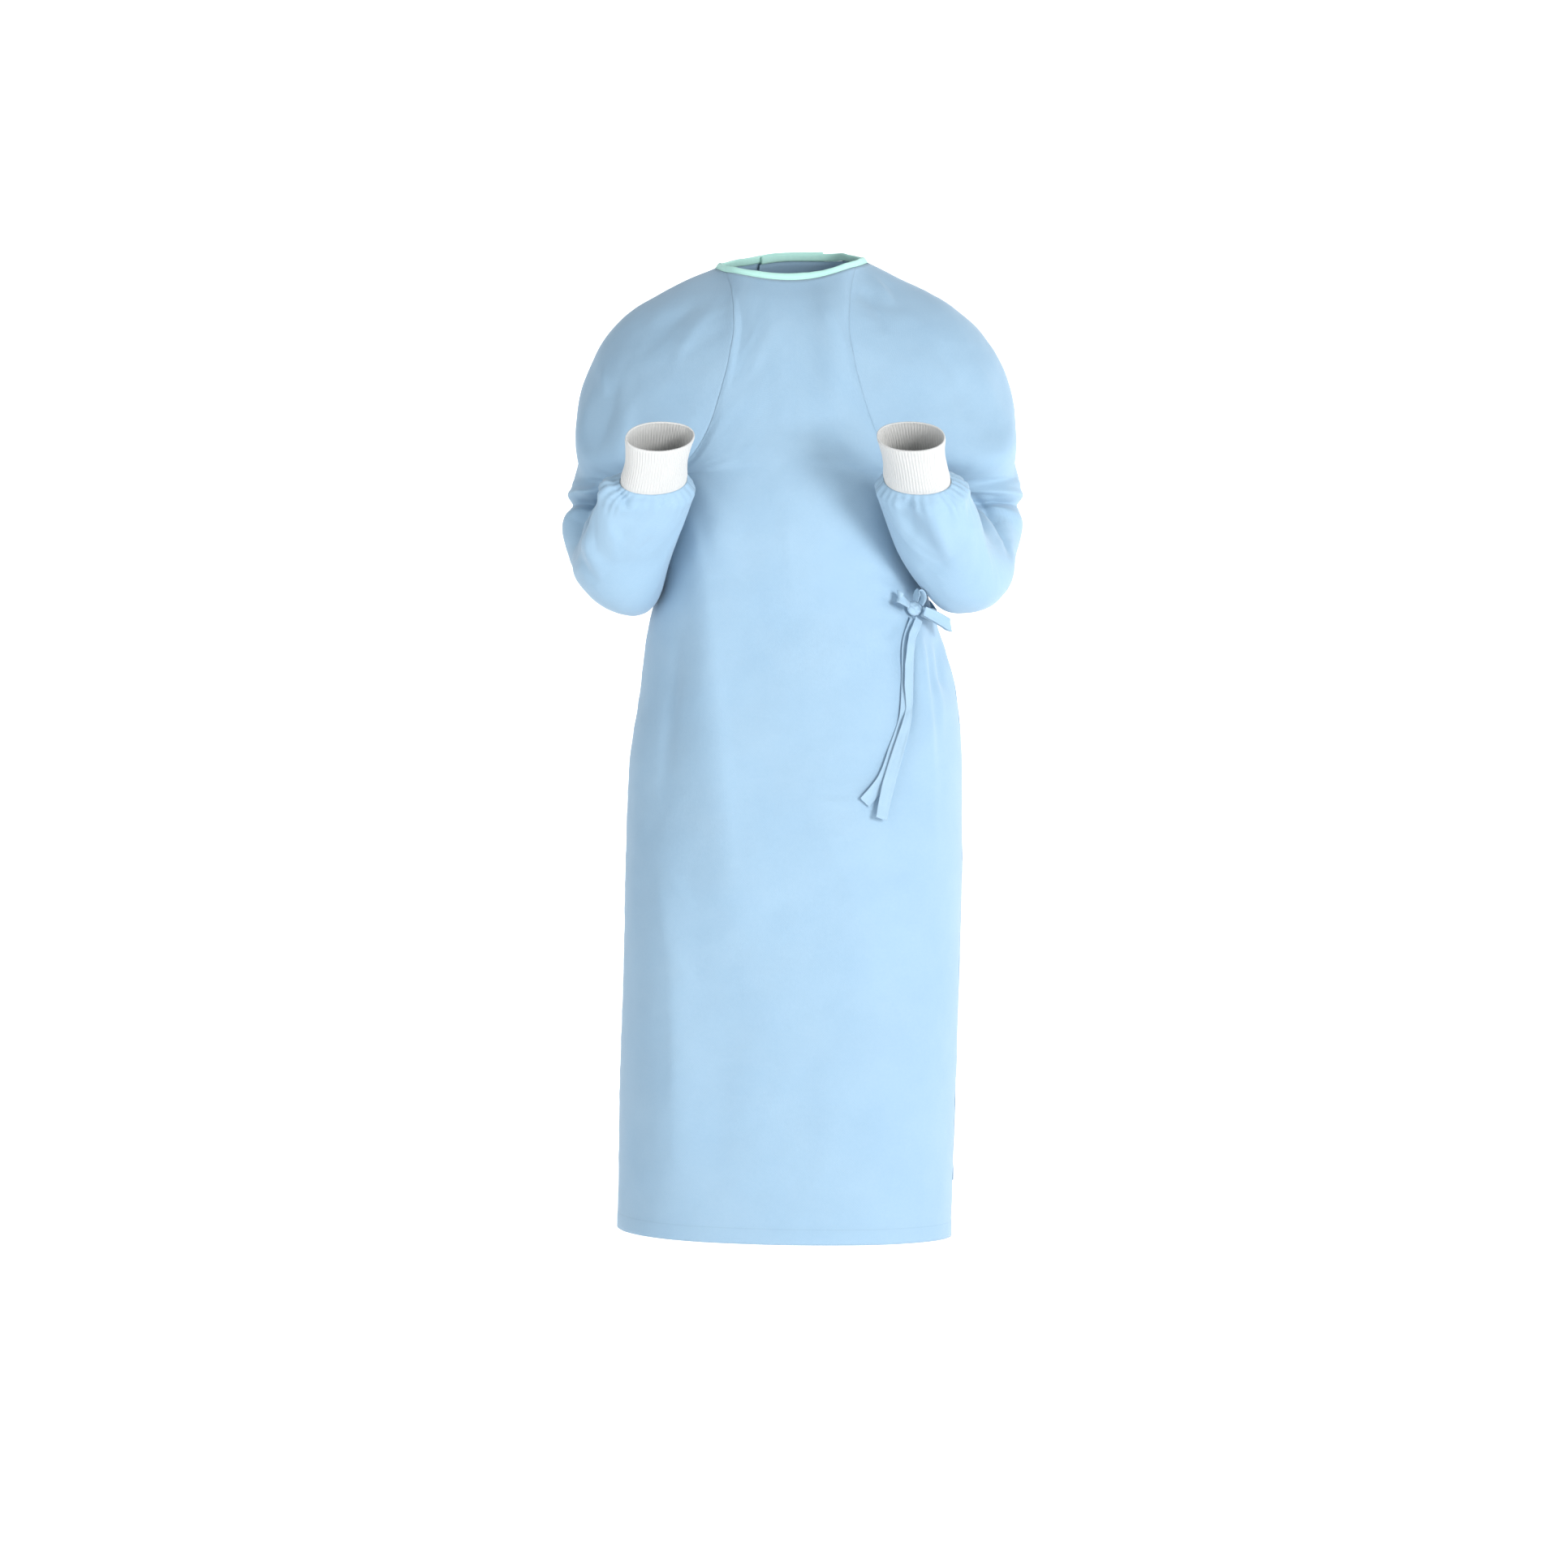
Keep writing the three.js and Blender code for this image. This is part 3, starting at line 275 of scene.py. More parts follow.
mint_tape = woven_tape("binding_mint", (198, 238, 226), (170, 222, 212), 260.0)
hook_tape = woven_tape("hook_tape_white", (236, 238, 240), (206, 210, 214), 420.0)
stitch_thread = woven_tape("stitch_thread", (206, 240, 230), (176, 222, 212), 600.0)
print("made", mint_tape.name, hook_tape.name, stitch_thread.name)

# %% [markdown]
# ## The gown's form
# The pattern is five flat pieces, and worn, they lie in the form that the solids have. That form is
# written as short tables: the outline of the gown's body at eleven levels, the raglan seams at nine,
# and the sleeve's bend at seven angles. A table is read anywhere along a smooth curve that never
# overshoots, so the same numbers that gave the solids their few large facets give a fine, even cloth
# here.


# %% Tables, and curves between two points
class Table:
    def __init__(self, names, rows):
        self.names = names.split()[1:]
        rows = np.array(sorted(rows), float)
        self.keys, self.values = rows[:, 0], rows[:, 1:]
        slopes = np.diff(self.values, axis=0) / np.diff(self.keys)[:, None]
        product, total = slopes[:-1] * slopes[1:], slopes[:-1] + slopes[1:]
        middle = np.where(product > 0, 2 * product / np.where(product > 0, total, 1), 0)
        self.tangents = np.vstack([slopes[:1], middle, slopes[-1:]])

    def __call__(self, at):
        at = np.clip(np.asarray(at, float), self.keys[0], self.keys[-1])
        i = np.clip(np.searchsorted(self.keys, at, "left") - 1, 0, len(self.keys) - 2)
        span = (self.keys[i + 1] - self.keys[i])[..., None]
        s = (at - self.keys[i])[..., None] / span
        read = (self.values[i] * (2 * s**3 - 3 * s**2 + 1) + self.tangents[i] * span * (s**3 - 2 * s**2 + s)
                + self.values[i + 1] * (3 * s**2 - 2 * s**3) + self.tangents[i + 1] * span * (s**3 - s**2))
        return SimpleNamespace(**dict(zip(self.names, np.moveaxis(read, -1, 0))))


def ease(at, low, high):
    s = np.clip((np.asarray(at, float) - low) / (high - low), 0, 1)
    return s * s * (3 - 2 * s)


def point(x, y, z):
    return np.stack(np.broadcast_arrays(x, y, z), -1).astype(float)


def bow(start, leaving, arriving, end, s):
    s = np.asarray(s)[..., None]
    r = 1 - s
    first = start * (r**3 + 3 * r**2 * s) + leaving * 3 * r**2 * s
    return first + arriving * 3 * r * s**2 + end * (s**3 + 3 * r * s**2)


# %% The sizes of the body and the yoke, in millimetres
HEM, HEM_TILT, ARMPIT = -1213, 6, -275
BODY = Table("level left right front back square", [
    (ARMPIT, -168, 168, -132, 122, 0.58),
    (-330, -164, 165, -133, 117, 0.6),
    (-395, -164, 167, -131, 111, 0.62),
    (-447, -177, 181, -130, 107, 0.64),
    (-483, -183, 193, -131, 108, 0.65),
    (-535, -189, 206, -134, 113, 0.65),
    (-636, -203, 214, -139, 126, 0.66),
    (-738, -207, 214, -143, 132, 0.66),
    (-890, -210, 210, -147, 138, 0.66),
    (-1043, -215, 205, -151, 142, 0.65),
    (HEM, -217, 200, -154, 145, 0.64)])
YOKE = Table("up fx fy fz tx ty tz bx by bz arrive leave full", [
    (0, 168, 1, -275, 275, 5, -275, 168, 3, -275, 90, -90, 0.86),
    (0.15, 148, -72, -269, 273, 5, -242, 156, 60, -263, 50, -32, 0.62),
    (0.29, 123, -107, -250, 267, 5, -204, 142, 97, -240, 24, -6, 0.48),
    (0.42, 102, -122, -217, 260, 5, -163, 129, 113, -203, 12, 5, 0.41),
    (0.55, 88, -126, -176, 249, 4, -122, 117, 118, -158, 12, 12, 0.38),
    (0.67, 77, -121, -132, 229, 3, -88, 106, 114, -111, 18, 18, 0.36),
    (0.79, 71, -108, -88, 199, 3, -57, 94, 104, -66, 28, 28, 0.35),
    (0.9, 73, -84, -50, 147, 4, -27, 80, 86, -29, 45, 45, 0.35),
    (1, 80, -48, -17, 96, 5, -5, 67, 58, 6, 62, 62, 0.35)])
MIDDLE = Table("up front_y front_z back_y back_z", [
    (0, -132, -275, 122, -275),
    (0.15, -133, -261, 124, -257),
    (0.29, -134, -238, 126, -231),
    (0.42, -133, -206, 127, -196),
    (0.55, -130, -168, 126, -152),
    (0.67, -125, -130, 122, -106),
    (0.79, -116, -93, 113, -63),
    (0.9, -101, -61, 99, -23),
    (1, -80, -31, 80, 16)])
RIGHT = SimpleNamespace(name="right", sign=-1, reach=0, lift=0, elbow_in=5, turn_in=0, sag=1)
LEFT = SimpleNamespace(name="left", sign=1, reach=12, lift=7, elbow_in=-1, turn_in=16, sag=0.3)
print("tables:", len(BODY.keys), "levels,", len(YOKE.keys), "yoke rows")


# %% Ribs of the body, from the middle of the front or back to the seam at the side
def yoke_at(side, up):
    row = YOKE(up)
    lift, reach = side.lift * ease(up, 0.88, 1), side.reach * (1 - ease(up, 0.7, 1.05))
    row.front = point(side.sign * row.fx, row.fy, row.fz + lift)
    row.top = point(side.sign * (row.tx + reach), row.ty, row.tz + lift)
    row.back = point(side.sign * row.bx, row.by, row.bz + lift)
    return row


def yoke_rib(side, up, facing, share):
    row, middle = yoke_at(side, up), MIDDLE(up)
    if facing < 0:
        start, end = point(0, middle.front_y, middle.front_z), row.front
    else:
        start, end = point(0, middle.back_y, middle.back_z), row.back
    chord, angle = np.linalg.norm(end - start, axis=-1), np.radians(row.arrive)
    leaving = point(side.sign * 0.45 * chord, 0, 0)
    across = -side.sign * np.cos(angle) * 0.36 * chord
    forward = facing * np.sin(angle) * 0.36 * chord
    arriving = point(across, forward, (start - end)[..., 2] * 0.3)
    return bow(start, leaving, arriving, end, share)


def body_rib(side, level, facing, share):
    row = BODY(level)
    middle = (row.left + row.right) / 2 * ease(level, -500, ARMPIT)
    edge = row.left if side.sign < 0 else row.right
    depth = row.front if facing < 0 else row.back
    leaving = point(side.sign * row.square * np.abs(edge - middle), 0, 0)
    arriving = point(0, depth * 0.6, 0)
    return bow(point(middle, depth, level), leaving, arriving, point(edge, 2, level), share)


def rib(side, height, facing, share, hem=HEM):
    """A point of the body: height is 0 at the hem, 1 at the armpit and 2 at the neck."""
    low = body_rib(side, hem + (ARMPIT - hem) * np.minimum(height, 1), facing, share)
    low[..., 2] -= side.sign * HEM_TILT * share * (1 - np.minimum(height, 1))
    high = yoke_rib(side, np.maximum(height - 1, 0), facing, share)
    return np.where((np.asarray(height) >= 1)[..., None], high, low)


# %% [markdown]
# ## The sleeves' form
# A raglan sleeve is sewn straight to the front, the back and the neck, so its upper part is a cap
# that grows out of the two seams. Below the armhole it is a tube. Halfway down the tube bends round
# one crook, as a stack of rings that turn about a line, and the outer cloth hangs away from it.

# %% Rings of the sleeves
CROOK_Y, CROOK_Z, CROOK_RADIUS, ELBOW_DEPTH = -76, -305, 12, 66
ELBOW = Table("bend across wide reach turn sag", [
    (90, 225, 52, 153, 0, 0),
    (66, 228, 52, 157, 2, 0.1),
    (45, 227, 53, 157, 4, 0.25),
    (20, 223, 54, 146, 8, 0.4),
    (0, 217, 57, 138, 11, 0.42),
    (-20, 209, 58, 125, 14, 0.34),
    (-38, 201, 58, 110, 16, 0.2)])
FOREARM_BEND, FOREARM_SLACK, CUFF_LENGTH = -38, 13, 75
CUFF_SEAM = SimpleNamespace(across=165, y=-214, z=-288, wide=43, thick=26)
CUFF_END = SimpleNamespace(wide=42, thick=25)


def cap_point(side, along, around):
    row = yoke_at(side, 1 - along)
    in_front = around <= 0.5
    seam = np.where(in_front[..., None], row.front, row.back)
    facing = np.where(in_front, -1, 1)
    chord, angle = np.linalg.norm(seam - row.top, axis=-1), np.radians(row.leave)
    rise = (row.top - seam)[..., 2]
    across = side.sign * np.cos(angle) * row.full * chord
    forward = -facing * np.sin(angle) * row.full * chord
    leaving = point(across, forward, rise * 0.35)
    arriving = point(0, facing * row.full * chord, -rise * 0.12)
    return bow(seam, leaving, arriving, row.top, np.where(in_front, around * 2, (1 - around) * 2))


def ring_point(side, section, around):
    bend, turn = np.radians(section.bend), np.radians(section.turn)
    outwards = point(side.sign * np.cos(turn), -np.sin(turn), 0)
    across, back = np.sin(turn) * np.sin(bend), np.cos(turn) * np.sin(bend)
    behind = point(-side.sign * across, back, -np.cos(bend))
    middle = point(side.sign * section.across, section.y, section.z)
    in_front = around <= 0.5
    half = outwards * np.asarray(section.wide)[..., None]
    handle = behind * (np.where(in_front, -section.in_front, section.behind) * 4 / 3)[..., None]
    sag = np.where(in_front, 0, section.sag)[..., None]
    share = np.where(in_front, around * 2, (1 - around) * 2)
    return bow(middle - half, handle * (1 + sag), handle * (1 - sag), middle + half, share)


def elbow_section(side, bend):
    row, angle, out = ELBOW(bend), np.radians(bend), CROOK_RADIUS + ELBOW_DEPTH
    inwards = side.elbow_in * ease(-bend, -60, -15) * (1 - ease(-bend, -15, 38))
    row.bend = bend
    row.across = row.across + side.reach * 0.8 * ease(bend, 40, 100) - inwards
    row.across = row.across - side.turn_in * ease(-bend, -5, 45)
    row.sag = row.sag * side.sag
    row.y, row.z = CROOK_Y + np.sin(angle) * out, CROOK_Z - np.cos(angle) * out
    row.in_front, row.behind = ELBOW_DEPTH + 0 * row.wide, row.reach - out
    return row


def forearm_section(side, far):
    start = elbow_section(side, np.float64(FOREARM_BEND))

    def mix(first, last):
        return first + (last - first) * far

    return SimpleNamespace(
        bend=start.bend, turn=start.turn, sag=start.sag * (1 - far),
        across=mix(start.across, CUFF_SEAM.across - side.turn_in * 0.9),
        y=mix(start.y, CUFF_SEAM.y), z=mix(start.z, CUFF_SEAM.z),
        wide=mix(start.wide, CUFF_SEAM.wide) + FOREARM_SLACK * far * (1 - ease(far, 0.84, 1)),
        in_front=mix(start.in_front, CUFF_SEAM.thick),
        behind=mix(start.behind, CUFF_SEAM.thick) + FOREARM_SLACK * np.sin(np.pi * far) * 0.4)


def sleeve_form(side, along, around):
    """A point of a sleeve: along is 0 at the neck, 1 armpit, 2 to 3 the bend, 4 the cuff seam."""
    cap = cap_point(side, np.minimum(along, 1), around)
    bend = 90 + (FOREARM_BEND - 90) * np.clip(along - 2, 0, 1)
    bent = ring_point(side, elbow_section(side, bend), around)
    fore = ring_point(side, forearm_section(side, np.clip(along - 3, 0, 1)), around)
    down = np.clip(along - 1, 0, 1)
    arm = cap + (bent - cap) * ease(down, 0, 0.6)[..., None]
    arm[..., 2] = ARMPIT + (CROOK_Z - ARMPIT) * down
    parts = [(along <= end)[..., None] for end in (1, 2, 3)]
    return np.select(parts, [cap, arm, bent], fore)


print("the crook of the elbow lies", -CROOK_Z, "mm below the neck")

# %% [markdown]
# ## The folds
# Three kinds of unevenness make the cloth look real. The broad folds are in the solids too, so they
# are copied as they are. On top of them come the creases that show, each given as a line
# with its own width on either side, since a crease is steep on one side and soft on the other. Last
# comes a slow, random unevenness of 2 or 3 mm at most, which keeps the planes from looking pressed.

# %% Broad folds, shared with the solids
FRONT_FOLDS = [  # x at the top, x at the bottom, top, bottom, half width, height
    (-100, -98, -150, -760, 34, 9),
    (-80, -66, -560, -880, 40, 5),
    (-160, -138, -700, -1240, 36, 8),
    (-150, -172, -430, -760, 26, -6),
    (46, 58, -30, -210, 20, 5),
    (-62, -58, -40, -200, 22, -5),
    (150, 170, -438, -680, 13, 6),
    (136, 140, -440, -600, 12, -5),
    (172, 200, -446, -560, 12, -6),
    (30, 60, -720, -1000, 60, -3),
    (130, 120, -900, -1240, 48, 5)]
BACK_FOLDS = [
    (-120, -150, -400, -900, 30, 8),
    (-40, -60, -420, -1240, 34, -8),
    (60, 70, -420, -1240, 36, 8),
    (130, 150, -430, -900, 26, -6),
    (10, 0, -120, -440, 40, 5)]
SLEEVE_FOLDS = [  # along, around, slant, length, half width, height
    (1.45, 0.3, 0.5, 0.2, 0.2, 8),
    (1.95, 0.34, -0.6, 0.16, 0.14, -9),
    (2.2, 0.4, 0.4, 0.12, 0.16, 9),
    (3.15, 0.3, -0.8, 0.14, 0.14, -7),
    (3.4, 0.28, 0.4, 0.16, 0.16, 6),
    (2.5, 0.72, 0.8, 0.16, 0.22, -6),
    (0.75, 0.36, -1.2, 0.2, 0.12, 6),
    (0.95, 0.44, -1.6, 0.2, 0.12, -6),
    (3.86, 0.5, 0, 0.5, 0.1, 3)]


def body_folds(table, x, z):
    total = np.zeros_like(x)
    for x_top, x_bottom, top, bottom, wide, high in table:
        down = np.clip((top - z) / (top - bottom), 0, 1)
        taper = ease(down, 0, 0.3) * (1 - ease(down, 0.65, 1))
        total += high * taper * np.exp(-(((x - x_top - (x_bottom - x_top) * down) / wide) ** 2))
    return total


def sleeve_folds(along, around):
    total = np.zeros_like(along)
    for place, side, slant, long, wide, high in SLEEVE_FOLDS:
        off = around - side
        total += high * np.exp(-(((along - place - slant * off) / wide) ** 2) - (off / long) ** 2)
    return total


# %% Creases and slow unevenness
def crease(x, z, path, high, before, after):
    """A ridge, or below 0 a trough, along a path of (x, z). before and after are its half widths to
    the left and the right of the way that the path runs."""
    total, reached = np.zeros_like(x), np.full_like(x, 1e9)
    path = np.array(path, float)
    lengths = np.r_[0, np.cumsum(np.linalg.norm(np.diff(path, axis=0), axis=1))]
    for (ax, az), (bx, bz), run in zip(path, path[1:], lengths):
        size = math.hypot(bx - ax, bz - az)
        t = ((x - ax) * (bx - ax) + (z - az) * (bz - az)) / size**2
        held = np.clip(t, 0, 1)
        off = np.hypot(x - ax - held * (bx - ax), z - az - held * (bz - az))
        side = (bx - ax) * (z - az) - (bz - az) * (x - ax)
        wide = np.where(side > 0, before, after)
        share = (run + held * size) / lengths[-1]
        taper = np.sin(np.pi * np.clip(share, 0, 1)) ** 0.7
        here = high * taper * np.exp(-((off / wide) ** 2))
        total, reached = np.where(off < reached, here, total), np.minimum(off, reached)
    return total


LATTICE = 256


def unevenness(u, v, size, seed):
    """Smooth random heights from -1 to 1, on a lattice of the given size in millimetres."""
    lattice = np.random.default_rng(seed).uniform(-1, 1, (LATTICE, LATTICE))
    gu, gv = u / size + LATTICE / 4, v / size + LATTICE / 4
    iu, iv = np.floor(gu).astype(int), np.floor(gv).astype(int)
    su, sv = ease(gu - iu, 0, 1), ease(gv - iv, 0, 1)

    def row(dv):
        first = lattice[iu % LATTICE, (iv + dv) % LATTICE]
        return first * (1 - su) + lattice[(iu + 1) % LATTICE, (iv + dv) % LATTICE] * su

    return row(0) * (1 - sv) + row(1) * sv


print(len(FRONT_FOLDS), "front folds,", len(BACK_FOLDS), "back folds,", len(SLEEVE_FOLDS), "sleeve folds")


# %% A panel: points, outward directions and flat coordinates
def outward(points, flip):
    down, across = np.empty_like(points), np.empty_like(points)
    down[1:-1] = points[:-2] - points[2:]
    down[0] = points[0] - points[1]
    down[-1] = points[-2] - points[-1]
    across[:, 1:-1] = points[:, 2:] - points[:, :-2]
    across[:, 0] = points[:, 1] - points[:, 0]
    across[:, -1] = points[:, -1] - points[:, -2]
    normal = np.cross(down, across) * flip
    return normal / np.linalg.norm(normal, axis=-1, keepdims=True)


def flat_lengths(points):
    """How far each point lies along its own row and column of the cloth, in millimetres."""
    rows = np.linalg.norm(np.diff(points, axis=1), axis=-1)
    columns = np.linalg.norm(np.diff(points, axis=0), axis=-1)
    u = np.concatenate([np.zeros((len(points), 1)), np.cumsum(rows, axis=1)], axis=1)
    v = np.concatenate([np.zeros((1, points.shape[1])), np.cumsum(columns, axis=0)], axis=0)
    return u - u[:, -1:] / 2, v


def cloth_piece(name, points, flip, material, thickness, seams=(True, True), closed=False, hem=False):
    """A grid of points in millimetres as a mesh with its cloth and seam coordinates in metres."""
    rows, columns = points.shape[:2]
    u, v = flat_lengths(points)
    index = np.arange(rows * columns).reshape(rows, columns)
    if closed:
        index = np.concatenate([index, index[:, :1]], axis=1)
    quads = np.stack([index[:-1, :-1], index[1:, :-1], index[1:, 1:], index[:-1, 1:]], -1)
    if flip < 0:
        quads = quads[..., ::-1]
    made = mesh_object(name, points.reshape(-1, 3) * MM, quads.reshape(-1, 4))
    left = (u - u[:, :1]) if seams[0] else np.full_like(u, 1e3)
    right = (u[:, -1:] - u) if seams[1] else np.full_like(u, 1e3)
    near, far = slice(0, -1), slice(1, None)
    for layer, a, b in (("cloth", u, v), ("seam", np.minimum(left, right), v if hem else v + 1e3)):
        if closed:
            turn = np.ptp(a, axis=1, keepdims=True) * (1 + 1 / columns) if layer == "cloth" else 0
            a = np.concatenate([a, a[:, :1] + turn], axis=1)
            b = np.concatenate([b, b[:, :1]], axis=1)
        corners = [(near, near), (far, near), (far, far), (near, far)]
        if flip < 0:
            corners = corners[::-1]
        flat = np.stack([np.stack([a[c], b[c]], -1) for c in corners], 2) * MM
        made.data.uv_layers.new(name=layer).data.foreach_set("uv", flat.astype(np.float32).ravel())
    if thickness:
        solid = made.modifiers.new("thickness", "SOLIDIFY")
        solid.thickness, solid.offset = thickness * MM, -1
    made.data.materials.append(material)
    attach(made, "root")
    return made


def surface_area(points):
    """The cloth's area in square metres, from its grid in millimetres."""
    a, b = points[1:, 1:] - points[:-1, :-1], points[1:, :-1] - points[:-1, 1:]
    return float(np.linalg.norm(np.cross(a, b), axis=-1).sum() / 2) * MM * MM


CLOTH = 0.6
print("the cloth is", CLOTH, "mm thick here")

# %% [markdown]
# ## The front panel
# One large piece from side seam to side seam, cut away at the top for the raglan sleeves. It shows
# most, so it has a fine grid, of 4 to 5 mm. Its creases come from how it was packed, how the raglan
# seams pull it and how the tie gathers it. The tie's fan of short folds is the sharpest of them.

# %% Front panel
SKIRT_ROWS, YOKE_ROWS, FRONT_COLUMNS = 232, 74, 116
heights = np.r_[np.arange(SKIRT_ROWS) / SKIRT_ROWS, 1 + np.arange(YOKE_ROWS + 1) / YOKE_ROWS]
FRONT_CREASES = [  # path of (x, z), height, half widths before and after
    ([(-123, -285), (-108, -361), (-99, -432), (-94, -509), (-88, -561), (-76, -703), (-72, -800)],
     2.6, 9, 22),
    ([(-162, -752), (-141, -884), (-139, -1000), (-138, -1120)], 2.4, 20, 9),
    ([(-136, -455), (-146, -540), (-156, -640)], -2.2, 9, 14),
    ([(-150, -470), (-166, -600), (-172, -700)], 1.8, 8, 12),
    ([(-154, -757), (-119, -803)], 1.5, 5, 9),
    ([(-146, -853), (-112, -900)], 1.3, 5, 9),
    ([(10, -655), (40, -712), (67, -768), (90, -826), (110, -875)], 1.6, 16, 10),
    ([(-4, -312), (-3, -360), (2, -423)], 1.1, 4, 7),
    ([(22, -672), (50, -674), (86, -673)], 0.9, 3, 6),
    ([(170, -560), (174, -660), (178, -772)], 1.4, 7, 9),
    ([(34, -36), (47, -77), (66, -122), (74, -170)], 1.6, 6, 12),
    ([(-52, -45), (-40, -90), (-30, -150), (-28, -210)], -1.2, 12, 16),
    ([(184, -470), (187, -500), (190, -530)], -3.2, 5, 6),
    ([(176, -462), (180, -500), (184, -560), (186, -620)], 2.4, 5, 5),
    ([(166, -470), (171, -500), (174, -545)], -3.4, 5, 6),
    ([(158, -462), (163, -510), (168, -570), (170, -640)], 2.6, 5, 6),
    ([(149, -462), (149, -500), (150, -562)], -3.0, 5, 6),
    ([(139, -460), (138, -500), (136, -560)], 1.6, 6, 7),
    ([(112, -420), (130, -430), (149, -443)], -2.6, 7, 6),
    ([(104, -432), (126, -440), (146, -450)], 1.5, 5, 8),
    ([(150, -441), (140, -452), (128, -464), (112, -476)], -2.4, 6, 6),
    ([(96, -400), (122, -412), (142, -424)], 1.5, 7, 8),
    ([(60, -300), (98, -352), (136, -412)], 1.2, 14, 18),
    ([(92, -270), (120, -330), (150, -410)], -1.6, 12, 14),
    ([(-40, -905), (-20, -960), (10, -1010)], 0.9, 9, 14),
    ([(40, -960), (44, -1050), (40, -1160)], 1.4, 22, 16),
    ([(-90, -930), (-84, -1030), (-80, -1150)], -1.6, 20, 18),
    ([(120, -800), (128, -900), (130, -1010)], -1.5, 16, 20),
    ([(-134, -262), (-108, -286), (-84, -318), (-66, -356)], 2.2, 9, 14),
    ([(132, -262), (110, -288), (92, -322)], 1.6, 12, 9),
    ([(-118, -300), (-104, -340), (-96, -390)], -1.4, 8, 8),
    ([(-30, -220), (8, -236), (46, -228)], 0.8, 8, 12),
    ([(-70, -250), (-30, -300), (4, -330)], -0.9, 12, 12)]


def creased(x, z, table):
    return sum(crease(x, z, path, high, before, after) for path, high, before, after in table)


def slow(u, v, seed, much=1.0):
    broad, middling = unevenness(u, v, 74, seed), unevenness(u, v, 33, seed + 1)
    return much * (0.9 * broad + 0.6 * middling + 0.24 * unevenness(u, v, 13, seed + 2))


EASED_ROWS, EASED_TIMES = 9, 70


def eased_at(row, points, weight):
    """The same grid with a bend at one of its rows rounded off, where weight isn't 0."""
    rows = np.arange(len(points))[1:-1, None, None]
    weight = weight[1:-1, :, None] * np.exp(-(((rows - row) / EASED_ROWS) ** 2))
    for _ in range(EASED_TIMES):
        points[1:-1] += weight * (points[:-2] + points[2:] - 2 * points[1:-1]) / 4
    return points


def front_points():
    across = np.linspace(-1, 1, FRONT_COLUMNS + 1)[None, :] * np.ones((len(heights), 1))
    height = heights[:, None] * np.ones_like(across)
    share = np.abs(across)
    on_right, on_left = rib(RIGHT, height, -1, share), rib(LEFT, height, -1, share)
    points = np.where((across < 0)[..., None], on_right, on_left)
    points = eased_at(SKIRT_ROWS, points, 1 - ease(share, 0.955, 1))
    normal, (u, v) = outward(points, 1), flat_lengths(points)
    x, z = points[..., 0], points[..., 2]
    fade = (1 - ease(share, 0.86, 1)) * (1 - ease(height, 1.9, 2))
    depth = body_folds(FRONT_FOLDS, x, z) * fade
    edge = (1 - ease(share, 0.93, 1)) * (1 - ease(height, 1.93, 2))
    depth += creased(x, z, FRONT_CREASES) * edge + slow(u, v, 3) * edge
    pucker = 0.5 * np.sin(v / 6.1 + 2 * unevenness(u, v, 40, 9))
    depth += pucker * ease(share, 0.95, 1) * (1 - ease(share, 0.985, 1))
    depth += 0.6 * (1 - ease(v, HEM_LINE - 2, HEM_LINE + 2))
    return points + normal * depth[..., None]


front = front_points()
print("front panel", round(surface_area(front), 3), "square metres")
front_piece = cloth_piece("gown_front", front, 1, cloth_blue, CLOTH, hem=True)
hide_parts("front_panel")

# %% [markdown]
# ## The two back panels
# The back is a wraparound: the panel that starts at the right side seam is the outer one, and it
# passes over the whole back to the left side. The one that starts at the left side lies under it.
# Both are the same surface, 5 mm apart where they overlap, to keep each clear of the other. The
# outer one's free edge is drawn in to about half of that, so it doesn't stand off like a board.

# %% Back panels
FLAP = Table("height outer under", [
    (0, 0.93, 0.5),
    (0.6, 0.93, 0.5),
    (0.79, 0.9, 0.48),
    (0.9, 0.72, 0.46),
    (1, 0.6, 0.45),
    (1.15, 0.7, 0.53),
    (1.3, 0.71, 0.55),
    (1.55, 0.66, 0.53),
    (1.8, 0.58, 0.5),
    (2, 0.5, 0.5)])
FLAP_RISE, LAYER_GAP = 66, 5
BACK_CREASES = [
    ([(-150, -430), (-120, -450), (-80, -458), (-30, -462)], -1.6, 7, 9),
    ([(150, -428), (110, -446), (60, -456)], -1.8, 7, 9),
    ([(-146, -452), (-132, -560), (-128, -700)], 2.4, 8, 14),
    ([(-90, -466), (-94, -600), (-104, -820)], -2.4, 9, 12),
    ([(-60, -470), (-62, -640), (-70, -900)], 2.2, 9, 15),
    ([(20, -466), (22, -620), (26, -860)], -2.2, 10, 12),
    ([(48, -470), (52, -600), (60, -760)], 2.0, 8, 12),
    ([(110, -462), (120, -560), (126, -720)], 2.4, 8, 12),
    ([(86, -462), (92, -560), (98, -660)], -2.2, 7, 9),
    ([(-2, -60), (-4, -160), (0, -300)], 1.3, 9, 14),
    ([(-90, -110), (-70, -190), (-40, -270)], 1.8, 9, 14),
    ([(92, -110), (70, -190), (44, -280)], 1.7, 9, 14),
    ([(-110, -250), (-60, -330), (-20, -420)], -1.5, 12, 12),
    ([(108, -250), (66, -330), (24, -420)], -1.5, 12, 12),
    ([(-120, -860), (-60, -868), (-6, -864)], 0.8, 4, 7),
    ([(90, -900), (96, -1000), (92, -1130)], 1.6, 14, 18),
    ([(-20, -900), (-12, -1020), (-16, -1150)], 1.5, 14, 20),
    ([(-140, -960), (-132, -1060), (-134, -1160)], -1.6, 14, 16)]


